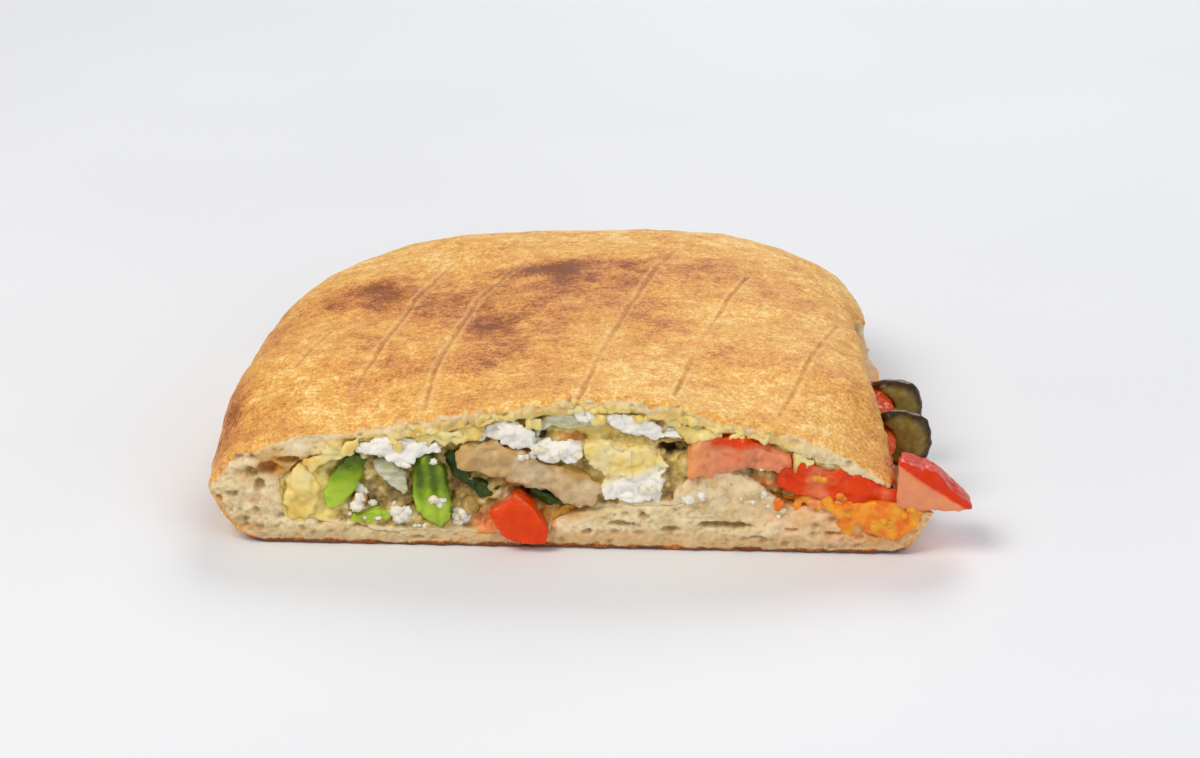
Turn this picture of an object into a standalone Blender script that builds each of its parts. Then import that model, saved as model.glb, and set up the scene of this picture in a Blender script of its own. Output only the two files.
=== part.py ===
"""One half of a filled flatbread sandwich with chicken fillet, cut across and lying flat.

The cut face looks towards -Y and the far rim of the bread towards +Y. The bread is one pocket:
top and bottom are joined along the left side and round the far end, and the pocket opens at the
cut and along a slit on the right. Everything is worked out in millimetres and stored in metres.
"""

import math

import bmesh
import bpy
from mathutils import Matrix, Vector, noise

MM = 0.001

# The half loaf: a superellipse in plan, centred on the middle of the cut.
FRONT = -68.0
LENGTH = 137.0
BACK = FRONT + LENGTH
HALF_WIDTH = 74.2
PLAN_POWER = 3.3
RIGHT_BULGE = 3.8
RIM = 11.5
SLIT_EDGE = 13.5
PEAK = 33.2
EDGE_POWER = 7.2
EDGE_ROOT = 2.4
TOP_RELIEF = 0.8
TOP_RELIEF_SCALE = 22.0
CUT_REACH = 32.0

# The section at the cut, as (x, z): the top crust, the pocket's ceiling and its floor.
CUT_TOP = [
    (-74.2, 11.5), (-73.2, 14.3), (-70.3, 17.8), (-65.5, 21.3), (-59.3, 23.3), (-53, 24.8), (-43.5, 25.9),
    (-33.5, 27.6), (-28, 29.3), (-19.5, 30.3), (-16.5, 31.4), (-4.5, 31.8), (-1, 33.4), (4, 34.2),
    (18, 33.6), (25, 32.8), (29, 30.8), (38.5, 28.6), (46, 26.6), (52, 25.5), (58.5, 22.3), (62.7, 19.6),
    (68, 15.0), (70, 13.5), (80, 12.5),
]
CUT_CEILING = [
    (-76, 20.0), (-60, 21.3), (-45, 22.5), (-38, 23.3), (-30, 24.5), (-20, 26.3), (-10, 27.8), (0, 29.6),
    (10, 30.4), (20, 29.6), (28, 27.4), (35, 25.6), (42, 24.4), (46.3, 22.3), (53.7, 20.6), (58, 19.0),
    (62.6, 17.4), (66.8, 14.3), (80, 13.5),
]
CUT_FLOOR = [
    (-76, 3.5), (-60, 3.5), (-50, 3.0), (-10, 3.0), (-2, 5.0), (5, 8.5), (15, 10.0), (25, 10.6), (29, 13.5),
    (35, 17.0), (38.5, 15.0), (42, 9.5), (50, 9.8), (80, 9.6),
]

# The pocket behind the cut.
TOP_WALL = 3.2
FLOOR = 3.4
THICK_FLOOR = 9.2
HINGE_WALL = 15.0
SLIT_WALL = 9.0
FAR_WALL = 11.0
SLIT_END = 42.0
SLIT_SETBACK = 8.5
CAVITY_POWER = 6.0

# The soft layers that run through the pocket.
GAP = 0.35
CHEESE_LAYER = 2.2
FILLING_RECESS = 4.5

CLEARANCE = 0.34
FILLING_CLEARANCE = 0.8
WELD = 0.003
NOISE_SEED = 3
RING_STEPS = 22


def smooth(low, high, value):
    """0 below low, 1 above high, with a smooth rise between them."""
    share = min(1.0, max(0.0, (value - low) / (high - low)))
    return share * share * (3 - 2 * share)


def spread_over(first, last, steps, crowd_last=1.0):
    """Numbers from first to last; a crowd_last over 1 packs them towards last."""
    shares = [1 - (1 - i / steps) ** crowd_last for i in range(steps + 1)]
    return [first + (last - first) * share for share in shares]


def table(points, x):
    """Straight-line values between (x, value) points, level beyond the ends."""
    if x <= points[0][0]:
        return points[0][1]
    for (x0, v0), (x1, v1) in zip(points, points[1:]):
        if x <= x1:
            return v0 + (v1 - v0) * (x - x0) / (x1 - x0)
    return points[-1][1]


def at_cut(y):
    """1 at the cut, where the section is as measured, and 0 from CUT_REACH behind it."""
    return 1 - smooth(FRONT, FRONT + CUT_REACH, y)


# The bread's outer form


def depth_share(y):
    return min(0.9995, max(0.0, (y - FRONT) / LENGTH))


def narrowing(y):
    return (1 - depth_share(y) ** PLAN_POWER) ** (1 / PLAN_POWER)


def full_width(y, side):
    """The half width before the far end rounds it off, to the left (side -1) or right (side 1)."""
    bulge = RIGHT_BULGE * (1 - smooth(FRONT, FRONT + 70, y)) if side > 0 else 0.0
    wave = 0.7 * math.sin(y * 0.085 + side) + 0.4 * math.sin(y * 0.21 - 2 * side)
    return HALF_WIDTH + bulge + wave * (1 - depth_share(y)) * smooth(FRONT, FRONT + 15, y)


def half_width(y, side):
    return full_width(y, side) * narrowing(y)


def setback(y):
    """How far the top crust's edge stands in from the rim on the slit side."""
    return SLIT_SETBACK * (1 - smooth(5, SLIT_END, y))


def slit_x(y):
    return half_width(max(y, FRONT), 1) - setback(y)


def rim_share(x, y, inward=0.0):
    """0 on the loaf's long axis and 1 on the rim of its outline, drawn in on the right by inward."""
    side = 1 if x > 0 else -1
    full = full_width(y, side) - (inward if x > 0 else 0.0)
    across = min(1.0, abs(x) / full)
    return min(1.0, (across**PLAN_POWER + depth_share(y) ** PLAN_POWER) ** (1 / PLAN_POWER))


def top_height(x, y):
    """The top crust: the measured edge at the cut, and behind it a low dome with full shoulders."""
    edge = RIM + (SLIT_EDGE - RIM) * smooth(0, 60, x) * (1 - smooth(5, SLIT_END, y))
    peak = PEAK - 3.0 * (1 - smooth(-65, 5, x)) - 1.0 * smooth(15, 60, x)
    round_off = (1 - rim_share(x, y, 0.82 * setback(y)) ** EDGE_POWER) ** (1 / EDGE_ROOT)
    relief = TOP_RELIEF * noise.noise(Vector((x, y, 40)) / TOP_RELIEF_SCALE)
    dome = edge + (peak + relief - edge) * round_off
    return dome + (table(CUT_TOP, x) - dome) * at_cut(y)


def bottom_height(x, y):
    """The underside: flat, and curving up to the rim near the outline."""
    start = 0.87 + (0.04 if x > 0 else 0.0) * at_cut(y)
    share = max(0.0, (rim_share(x, y) - start) / (1 - start))
    return RIM * share**1.3


def outer_ring(y):
    """The loaf's section at one depth: over the top from right to left, then back underneath."""
    ring = []
    for step in range(2 * RING_STEPS):
        turn = math.pi * step / RING_STEPS
        side = 1 if math.cos(turn) > 0 else -1
        x = half_width(y, side) * math.cos(turn)
        height = top_height if step <= RING_STEPS else bottom_height
        ring.append((x, y, RIM if step in (0, RING_STEPS) else height(x, y)))
    return ring


# The pocket


def ceiling(x, y):
    behind = top_height(x, y) - TOP_WALL
    return behind + (table(CUT_CEILING, x) - behind) * at_cut(y)


def floor(x, y):
    """The bottom bread's upper side: thin on the left and thick on the right."""
    behind = FLOOR + (THICK_FLOOR - FLOOR) * smooth(-10, 5, x)
    return behind + (table(CUT_FLOOR, x) - behind) * at_cut(y)


POCKET_DEPTHS = [FRONT, *spread_over(FRONT + FILLING_RECESS, BACK - FAR_WALL, 13, crowd_last=1.6)]


def cavity_end(y, side):
    wall = HINGE_WALL if side < 0 else SLIT_WALL
    return half_width(max(y, FRONT), side) - wall


def pocket_span(x, y):
    """The heights of the pocket's floor and ceiling, closing towards each other at its ends."""
    y = max(y, FRONT)
    left, right = -cavity_end(y, -1), cavity_end(y, 1)
    share = min(1.0, abs(x - (left + right) / 2) / ((right - left) / 2))
    depth = min(1.0, (y - FRONT) / (BACK - FAR_WALL - FRONT))
    lift = math.sqrt((1 - share**CAVITY_POWER) * (1 - depth**8))
    low, high = floor(x, y), ceiling(x, y)
    room = (high - low) / 2 * max(0.04, lift)
    return (low + high) / 2 - room, (low + high) / 2 + room


def pocket_ring(y, span=pocket_span, reach=1.0, steps=16):
    """A section at one depth with the heights in span. reach is how much of the outermost step both
    ends fill."""
    left, right = -cavity_end(y, -1), cavity_end(y, 1)
    shares = [0.45 * math.cos(math.pi * i / steps) + 0.55 * (1 - 2 * i / steps) for i in range(steps + 1)]
    across = [(left + right) / 2 + (right - left) / 2 * share for share in shares]
    spans = [span(x, y) for x in across]
    first = across[1] + reach * (across[0] - across[1])
    last = across[-2] + reach * (across[-1] - across[-2])
    ring = [(first, y, sum(spans[1]) / 2)]
    ring += [(across[i], y, spans[i][1]) for i in range(1, steps)]
    ring += [(last, y, sum(spans[-2]) / 2)]
    ring += [(across[i], y, spans[i][0]) for i in range(steps - 1, 0, -1)]
    return ring


def slit_ring(y):
    """The section of the space that opens the pocket to the right, past the top crust's edge."""
    inside = max(y, FRONT)
    edge = slit_x(y)
    shut = smooth(5, SLIT_END, inside)
    middle = RIM + 0.8
    low = floor(edge - 4, inside) * (1 - shut) + (middle - 0.2) * shut
    high = ceiling(edge - 4, inside) * (1 - shut) + (middle + 0.2) * shut
    edge += 3 * shut
    ring = [(edge - 9, low), (95, low), (95, 45), (edge + 2 + 4 * shut, 45), (edge, high), (edge - 9, high)]
    return [(x, y, z) for x, z in ring]


# Making solids


def add_object(name, work):
    """Stores a bmesh, worked out in millimetres, as an object in metres."""
    bmesh.ops.recalc_face_normals(work, faces=work.faces)
    bmesh.ops.transform(work, matrix=Matrix.Scale(MM, 4), verts=work.verts)
    mesh = bpy.data.meshes.new(name)
    work.to_mesh(mesh)
    work.free()
    made = bpy.data.objects.new(name, mesh)
    bpy.context.scene.collection.objects.link(made)
    return made


def loft(name, rings):
    """Skins rings of equal length, and closes both ends with strips from side to side of the ring.
    Points 0 and half way are a ring's two ends, and point i lies opposite point -i."""
    work = bmesh.new()
    rows = [[work.verts.new(point) for point in ring] for ring in rings]
    for near, far in zip(rows, rows[1:]):
        for i in range(len(near)):
            j = (i + 1) % len(near)
            work.faces.new((near[i], near[j], far[j]))
            work.faces.new((near[i], far[j], far[i]))
    for row in (rows[0], rows[-1]):
        last = len(row) // 2 - 1
        work.faces.new((row[0], row[1], row[-1]))
        for i in range(1, last):
            work.faces.new((row[i], row[i + 1], row[-i - 1], row[-i]))
        work.faces.new((row[last], row[last + 1], row[last + 2]))
    return add_object(name, work)


def through(points, samples):
    """Evenly shared samples of a smooth curve (Catmull-Rom) through points of any dimension."""
    ends = [Vector(points[0]) * 2 - Vector(points[1]), Vector(points[-1]) * 2 - Vector(points[-2])]
    held = [ends[0], *map(Vector, points), ends[1]]
    found = []
    for i in range(samples):
        place = i * (len(points) - 1) / (samples - 1)
        k = min(int(place), len(points) - 2)
        t = place - k
        a, b, c, d = held[k : k + 4]
        found.append(
            0.5 * (2 * b + (c - a) * t + (2 * a - 5 * b + 4 * c - d) * t**2)
            + 0.5 * (3 * b - a - 3 * c + d) * t**3
        )
    return found


def roughen(point, amount, grain, seed):
    """Moves a point by smooth noise of that size and grain, in millimetres."""
    place = Vector(point) / grain + Vector((seed * 7.3, seed * 3.1, seed * 5.7))
    return Vector(point) + amount * noise.noise_vector(place)


def slab(name, spine, front, back, lean=(0.0, 0.0), samples=6, rough=0.35, seed=1, tail=0.55):
    """A slice that lies along Y. spine is its line at the front, as (x, z, half thickness) in order.
    lean is how far it shifts in x and z for each millimetre of depth, and tail its size at the back."""
    line = through([(x, z, max(0.2, half)) for x, z, half in spine], samples)
    centre = sum((p.xy for p in line), Vector((0, 0))) / len(line)
    upper, lower = [], []
    for i, here in enumerate(line):
        ahead = line[min(i + 1, samples - 1)].xy - line[max(i - 1, 0)].xy
        normal = Vector((-ahead.y, ahead.x)).normalized() * max(0.25, here.z)
        upper.append(here.xy + normal)
        lower.append(here.xy - normal)
    start = line[0].xy - (line[1].xy - line[0].xy).normalized() * line[0].z * 0.8
    finish = line[-1].xy + (line[-1].xy - line[-2].xy).normalized() * line[-1].z * 0.8
    section = [start, *upper, finish, *reversed(lower)]
    depth = back - front
    rings = []
    for share, size in ((0, 0.9), (0.05, 1), (0.45, 1), (0.9, 0.9), (1, tail)):
        run = share * depth
        ring = []
        for p in section:
            spot = centre + (p - centre) * size + Vector(lean) * run
            ring.append(roughen((spot.x, front + run, spot.y), rough, 5.0, seed))
        rings.append(ring)
    return loft(name, rings)


def lump(name, centre, half, power=3.0, tilt=0.0, rough=0.5, seed=1, cuts=3, grain=5.0):
    """A blocky lump: a superellipsoid with these half sizes, turned by tilt degrees about Y."""
    work = bmesh.new()
    bmesh.ops.create_cube(work, size=2.0)
    bmesh.ops.subdivide_edges(work, edges=work.edges, cuts=cuts, use_grid_fill=True)
    turn = Matrix.Rotation(math.radians(tilt), 3, "Y")
    for vert in work.verts:
        ray = vert.co.normalized()
        reach = sum(abs(part) ** power for part in ray) ** (-1 / power)
        spot = turn @ Vector([part * reach * size for part, size in zip(ray, half)])
        vert.co = roughen(Vector(centre) + spot, rough, grain, seed)
    return add_object(name, work)


def grown(piece, clearance):
    """A copy of a piece that is larger by the clearance all round, to cut its neighbours with."""
    work = bmesh.new()
    work.from_mesh(piece.data)
    work.normal_update()
    moved = [(v, v.normal * clearance * MM * min(1.8, v.calc_shell_factor())) for v in work.verts]
    for vert, offset in moved:
        vert.co += offset
    mesh = bpy.data.meshes.new(piece.name + "_cutter")
    work.to_mesh(mesh)
    work.free()
    made = bpy.data.objects.new(piece.name + "_cutter", mesh)
    bpy.context.scene.collection.objects.link(made)
    return made


def reach_of(piece):
    points = [vert.co for vert in piece.data.vertices]
    return [(min(p[k] for p in points), max(p[k] for p in points)) for k in range(3)]


def near(first, second):
    pairs = zip(reach_of(first), reach_of(second))
    return all(a[0] < b[1] and b[0] < a[1] for a, b in pairs)


def keep_largest(piece):
    """Welds what a cut has left almost touching, drops loose bodies and keeps the largest one."""
    work = bmesh.new()
    work.from_mesh(piece.data)
    bmesh.ops.remove_doubles(work, verts=work.verts, dist=WELD * MM)
    bmesh.ops.dissolve_degenerate(work, edges=work.edges, dist=WELD * MM)
    bmesh.ops.triangulate(work, faces=work.faces)
    bodies, seen = [], set()
    for start in work.faces:
        if start in seen:
            continue
        body, ahead = [], [start]
        seen.add(start)
        while ahead:
            face = ahead.pop()
            body.append(face)
            for edge in face.edges:
                if len(edge.link_faces) != 2:
                    continue
                for other in edge.link_faces:
                    if other not in seen:
                        seen.add(other)
                        ahead.append(other)
        bodies.append(body)
    bodies.sort(key=len)
    loose = [face for body in bodies[:-1] for face in body]
    bmesh.ops.delete(work, geom=loose, context="FACES")
    work.to_mesh(piece.data)
    work.free()


def boolean(piece, others, operation):
    """Cuts or joins piece with each of the others, applies the result and removes them."""
    for other in others:
        modifier = piece.modifiers.new(other.name, "BOOLEAN")
        modifier.operation = operation
        modifier.object = other
        modifier.solver = "MANIFOLD"
    bpy.context.view_layer.update()
    graph = bpy.context.evaluated_depsgraph_get()
    made = bpy.data.meshes.new_from_object(piece.evaluated_get(graph))
    piece.modifiers.clear()
    piece.data = made
    for other in others:
        bpy.data.objects.remove(other)
    keep_largest(piece)
    return piece


def carve(piece, neighbours, clearance=CLEARANCE):
    cutters = [grown(other, clearance) for other in neighbours if near(piece, other)]
    return boolean(piece, cutters, "DIFFERENCE")


# The pieces


def make_bread():
    """Crust and crumb in one piece, with the pocket and the slit cut out of it."""
    stations = spread_over(FRONT, BACK - 0.15, 19, crowd_last=1.7)
    bread = loft("bread", [outer_ring(y) for y in stations])
    pocket = loft("pocket", [pocket_ring(y) for y in [FRONT - 12, *POCKET_DEPTHS]])
    slit = loft("slit", [slit_ring(y) for y in [FRONT - 12, *spread_over(FRONT, SLIT_END, 10)]])
    return boolean(bread, [pocket, slit], "DIFFERENCE")


def clear_span(x, y):
    low, high = pocket_span(x, y)
    return low + GAP, high - GAP


def cheese_span(x, y):
    low, high = clear_span(x, y)
    thickness = CHEESE_LAYER + 0.7 * noise.noise(Vector((x / 7, y / 9, 3)))
    return high - min(thickness, 0.35 * (high - low)), high


def filling_span(x, y):
    return clear_span(x, y)[0], cheese_span(x, y)[0] - 2.5 * GAP


def make_cheese_layer():
    """Melted cheese that clings to the top bread, all the way through."""
    depths = [FRONT + 0.4, *POCKET_DEPTHS[1:-3]]
    return loft("melted_cheese_layer", [pocket_ring(y, cheese_span, reach=0.1) for y in depths])


CRUMBS = [
    # x, y, z, radius of the lumps of white cheese that show between the larger pieces
    (-42.6, -65.2, 9.6, 2.3),
    (-34.2, -65.0, 6.0, 2.2),
    (-19.0, -65.0, 8.6, 2.2),
    (-8.0, -64.0, 22.4, 2.4),
    (-1.0, -65.0, 22.6, 3.2),
    (3.4, -64.5, 21.0, 2.2),
    (26.0, -65.2, 18.6, 3.0),
    (65.0, -52.0, 13.6, 2.6),
    (65.4, -29.0, 13.4, 3.0),
    (65.0, -6.0, 13.2, 3.2),
    (62.0, 13.0, 13.0, 2.6),
]


def make_filling():
    """The soft filling that holds the pieces: crushed white cheese in melted cheese."""
    rings = [pocket_ring(y, filling_span, reach=0.1) for y in POCKET_DEPTHS[1:-2]]
    rings[0] = [(x, roughen((x, y, z), 1.4, 6.0, 5).y, z) for x, y, z in rings[0]]
    filling = loft("soft_filling", rings)
    lumps = [
        lump(f"crumb_{i}", (x, y, z), (r, r * 1.2, r), power=2.4, rough=0.7, seed=20 + i, cuts=2)
        for i, (x, y, z, r) in enumerate(CRUMBS)
    ]
    return boolean(filling, lumps, "UNION")


def make_pieces():
    """The pieces that show at the cut and the slit, the ones that keep their whole form first."""
    return [
        lump("tomato_dice", (-8.3, -66.2, 7.4), (6.2, 4.6, 4.0), 5.0, 52, 0.5, 1),
        slab("tomato_wedge", [(73.4, 15.6, 4.6), (76, 14.6, 4.1), (80, 12.8, 2.4), (84.2, 11.2, 0.7)],
             FRONT - 1.2, -55, lean=(-0.02, -0.14), rough=0.4, seed=2),
        slab("chicken_fillet", [(-19, 22.2, 1.3), (-15, 20.4, 3.1), (-9, 18.6, 2.9), (-3, 16.3, 3.0),
                                (2, 14.6, 3.7), (7, 12.8, 1.5)],
             FRONT - 0.2, 46, lean=(0.03, 0.02), samples=8, rough=0.6, seed=3),
        slab("pepper_light", [(-48, 8.6, 2.1), (-46.3, 12.2, 2.6), (-44, 15.8, 2.6), (-42, 19.2, 1.8)],
             FRONT + 0.3, -40, lean=(0.25, 0.0), seed=4),
        slab("pepper_rib", [(-25.4, 6.0, 2.6), (-26.6, 10.2, 3.7), (-27.2, 15.0, 3.8), (-27.4, 18.2, 3.2)],
             FRONT - 0.2, -44, lean=(-0.15, 0.0), seed=5),
        slab("pepper_dark", [(-23.6, 20.4, 1.2), (-21.6, 16.4, 1.4), (-18.2, 13.2, 1.4), (-13.5, 11.4, 1.4),
                             (-8, 12.2, 1.3), (-3, 10.6, 1.3), (0.5, 9.4, 0.9)],
             FRONT + 1.5, -42, lean=(0.0, 0.02), samples=8, rough=0.3, seed=6),
        slab("pepper_end", [(-43.4, 5.2, 1.2), (-40, 5.8, 1.7), (-36.4, 6.2, 1.3)],
             FRONT + 0.4, -50, lean=(0.1, 0.0), samples=5, seed=7),
        slab("onion_petal", [(-38.6, 17.8, 0.8), (-36, 16.2, 2.0), (-33.6, 14.2, 2.3), (-32.6, 11.6, 1.0)],
             FRONT + 0.8, -46, lean=(0.05, 0.05), samples=6, seed=8),
        slab("onion_slice", [(-5.4, 24.4, 0.9), (-3.8, 27.2, 1.4), (0, 28.4, 1.6), (4, 27.8, 1.8), (7.6, 26.6, 1.1)],
             FRONT + 1.2, -38, lean=(0.1, 0.02), seed=9),
        slab("white_cheese_strip", [(-42, 21.8, 0.9), (-38, 21.6, 1.4), (-33, 20.8, 2.0), (-28.5, 21.6, 1.5),
                                    (-25.2, 22.2, 0.8)],
             FRONT - 0.7, -50, rough=0.6, seed=10),
        slab("white_cheese_lump", [(-15.4, 25.6, 1.4), (-11, 25.6, 2.2), (-7.4, 25.0, 1.5)],
             FRONT + 0.5, -52, samples=5, rough=0.6, seed=11),
        lump("white_cheese_block", (14.2, -60.2, 17.4), (8.9, 8.6, 6.5), 4.5, 2, 1.1, 12, cuts=4),
        slab("white_cheese_slab", [(9.8, 28.0, 0.9), (13.4, 27.0, 1.5), (18, 26.7, 1.8), (23.4, 26.0, 1.1)],
             FRONT + 0.2, -46, rough=0.5, seed=13),
        slab("tomato_slice", [(30.2, 21.4, 2.2), (35, 21.6, 3.3), (41, 21.0, 3.3), (45.6, 19.8, 2.2)],
             FRONT - 0.6, -30, lean=(0.05, 0.03), seed=14),
        slab("tomato_flesh", [(47.6, 16.2, 2.5), (52, 16.2, 3.5), (58, 15.1, 3.4), (63.5, 13.9, 3.0), (67, 13.2, 1.8)],
             FRONT + 0.6, -14, lean=(0.04, 0.04), seed=15),
        slab("melted_cheese_pool", [(-55.6, 6.2, 2.2), (-54, 9.6, 3.8), (-53.4, 13.6, 3.4), (-54.4, 16.8, 1.4)],
             FRONT + 0.1, -46, seed=16),
        lump("pickle_slice_near", (70.5, -38, 14.2), (6.8, 2.1, 6.2), 2.6, 8, 0.3, 17),
        lump("pickle_slice_far", (68.5, -20, 14.6), (7.2, 2.3, 5.8), 2.6, -6, 0.3, 18),
    ]


# Finishes

FINISHES = {
    # node: colour, roughness
    "bread": ((0.72, 0.42, 0.17), 0.75),
    "melted_cheese_layer": ((0.87, 0.74, 0.38), 0.4),
    "soft_filling": ((0.80, 0.72, 0.45), 0.5),
    "tomato": ((0.72, 0.09, 0.02), 0.2),
    "chicken": ((0.52, 0.38, 0.22), 0.45),
    "pepper": ((0.15, 0.30, 0.02), 0.25),
    "onion": ((0.66, 0.62, 0.40), 0.3),
    "white_cheese": ((0.88, 0.87, 0.80), 0.6),
    "melted_cheese_pool": ((0.90, 0.80, 0.42), 0.35),
    "pickle": ((0.16, 0.12, 0.02), 0.3),
}


def finish_of(name):
    """The Principled material of the longest finish name that the node's name starts with."""
    found = max((key for key in FINISHES if name.startswith(key)), key=len)
    material = bpy.data.materials.get(found)
    if material is None:
        colour, roughness = FINISHES[found]
        material = bpy.data.materials.new(found)
        material.use_nodes = True
        shader = material.node_tree.nodes["Principled BSDF"]
        shader.inputs["Base Color"].default_value = (*colour, 1)
        shader.inputs["Roughness"].default_value = roughness
        shader.inputs["Metallic"].default_value = 0.0
    return material


def main():
    for old in list(bpy.data.objects):
        bpy.data.objects.remove(old)
    noise.seed_set(NOISE_SEED)
    pieces = make_pieces()
    for i, piece in enumerate(pieces):
        carve(piece, pieces[:i])
    layer = carve(make_cheese_layer(), pieces)
    filling = carve(make_filling(), pieces, FILLING_CLEARANCE)
    bread = carve(make_bread(), pieces)
    for made in (bread, layer, filling, *pieces):
        made.data.materials.clear()
        made.data.materials.append(finish_of(made.name))
        made.data.shade_smooth()
        made.data.set_sharp_from_angle(angle=math.radians(50))


main()
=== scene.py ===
"""Half of a toasted flatbread sandwich with chicken fillet, dressed over its CAD frame.

Laid out as a Blender add-on: the sizes and colours are properties, each group of pieces is an
operator, and main() runs them in order.
"""

import math

import bmesh
import bpy
import numpy as np
from mathutils import Euler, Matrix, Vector, noise
from mathutils.bvhtree import BVHTree


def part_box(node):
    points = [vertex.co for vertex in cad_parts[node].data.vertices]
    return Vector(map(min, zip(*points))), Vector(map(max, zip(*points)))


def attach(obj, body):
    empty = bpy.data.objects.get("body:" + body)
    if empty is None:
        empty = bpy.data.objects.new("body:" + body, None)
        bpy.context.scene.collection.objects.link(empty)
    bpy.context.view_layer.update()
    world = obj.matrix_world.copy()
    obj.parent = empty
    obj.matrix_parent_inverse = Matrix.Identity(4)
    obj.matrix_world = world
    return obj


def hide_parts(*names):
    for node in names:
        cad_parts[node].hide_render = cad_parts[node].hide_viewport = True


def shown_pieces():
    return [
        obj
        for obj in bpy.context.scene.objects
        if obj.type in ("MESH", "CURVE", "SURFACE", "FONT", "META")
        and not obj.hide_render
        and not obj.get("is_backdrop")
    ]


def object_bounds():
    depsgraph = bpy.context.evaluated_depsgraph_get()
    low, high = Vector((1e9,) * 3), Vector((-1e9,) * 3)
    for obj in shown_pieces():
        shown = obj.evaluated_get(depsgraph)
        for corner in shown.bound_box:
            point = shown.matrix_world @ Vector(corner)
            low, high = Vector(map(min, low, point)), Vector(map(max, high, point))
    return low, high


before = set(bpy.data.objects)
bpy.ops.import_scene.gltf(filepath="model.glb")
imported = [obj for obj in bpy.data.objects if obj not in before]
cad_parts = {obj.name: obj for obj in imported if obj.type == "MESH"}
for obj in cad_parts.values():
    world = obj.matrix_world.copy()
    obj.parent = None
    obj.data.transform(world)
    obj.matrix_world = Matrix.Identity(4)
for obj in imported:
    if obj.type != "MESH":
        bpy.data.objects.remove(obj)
CAD_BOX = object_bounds()

bl_info = {
    "name": "Flatbread Sandwich Half",
    "version": (1, 0, 0),
    "blender": (4, 5, 0),
    "location": "3D View > Sidebar > Sandwich",
    "description": "Builds the toasted bread, the filling and the stage over the packed part",
    "category": "Object",
}

MM = 0.001
# The plane of the cut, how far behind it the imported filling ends, and the spacing of that filling's
# mesh, all in millimetres, with its number of rows.
CUT_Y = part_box("bread")[0].y / MM
PACKED_DEPTH = 8.0
PACKED_STEP = 0.45
PACKED_ROWS = 62
# How much thicker the top bread's thin corner is made, in millimetres, and how often the bottom
# bread's end at the slit is smoothed.
CORNER_EXTRA = 0.8
SOFT_END_ROUNDS = 16

# Plan of the grooves scored in the top crust, in millimetres.
SCORES = [
    [(-44, -52), (-40.5, -34), (-35.8, -4), (-29.5, 21)],
    [(-28.5, -63.4), (-27.7, -46.8), (-25.2, -27.1), (-21.9, -3.8), (-13, 20.1)],
    [(3.7, -67.4), (7.2, -37), (11, -13.3), (16.8, 15.8), (20.5, 30)],
    [(23.2, -63.3), (27.5, -32.5), (32.7, -5.1), (37, 12)],
    [(44.8, -61.6), (48.8, -47.3), (53.3, -26.3), (57, -10)],
    [(-58, -40), (-55.9, -33.6), (-52.5, -22)],
]

# Toasting of the top crust: x, y, reach along x, reach along y, strength.
TOASTED = [
    (-47, 3, 12, 9, 0.75), (1, 14, 16, 7, 0.85), (-18, -23, 8, 8, 0.5), (-18, -44, 9, 6, 0.45),
    (-40, -40, 10, 16, 0.3), (-34, -8, 16, 16, 0.4), (-10, -24, 14, 26, 0.42),
    (17, -20, 9, 16, 0.3), (-4, 2, 20, 16, 0.38), (24, 18, 16, 12, 0.35), (44, 2, 12, 14, 0.22),
    (33, -38, 8, 12, 0.16), (60, -44, 9, 14, 0.2), (-72, -48, 4, 20, 0.6), (-66, -6, 6, 20, 0.3),
    (71, -52, 3, 18, 0.45), (-60, -60, 8, 8, 0.2), (-8, -60, 14, 5, 0.2),
]

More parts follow.
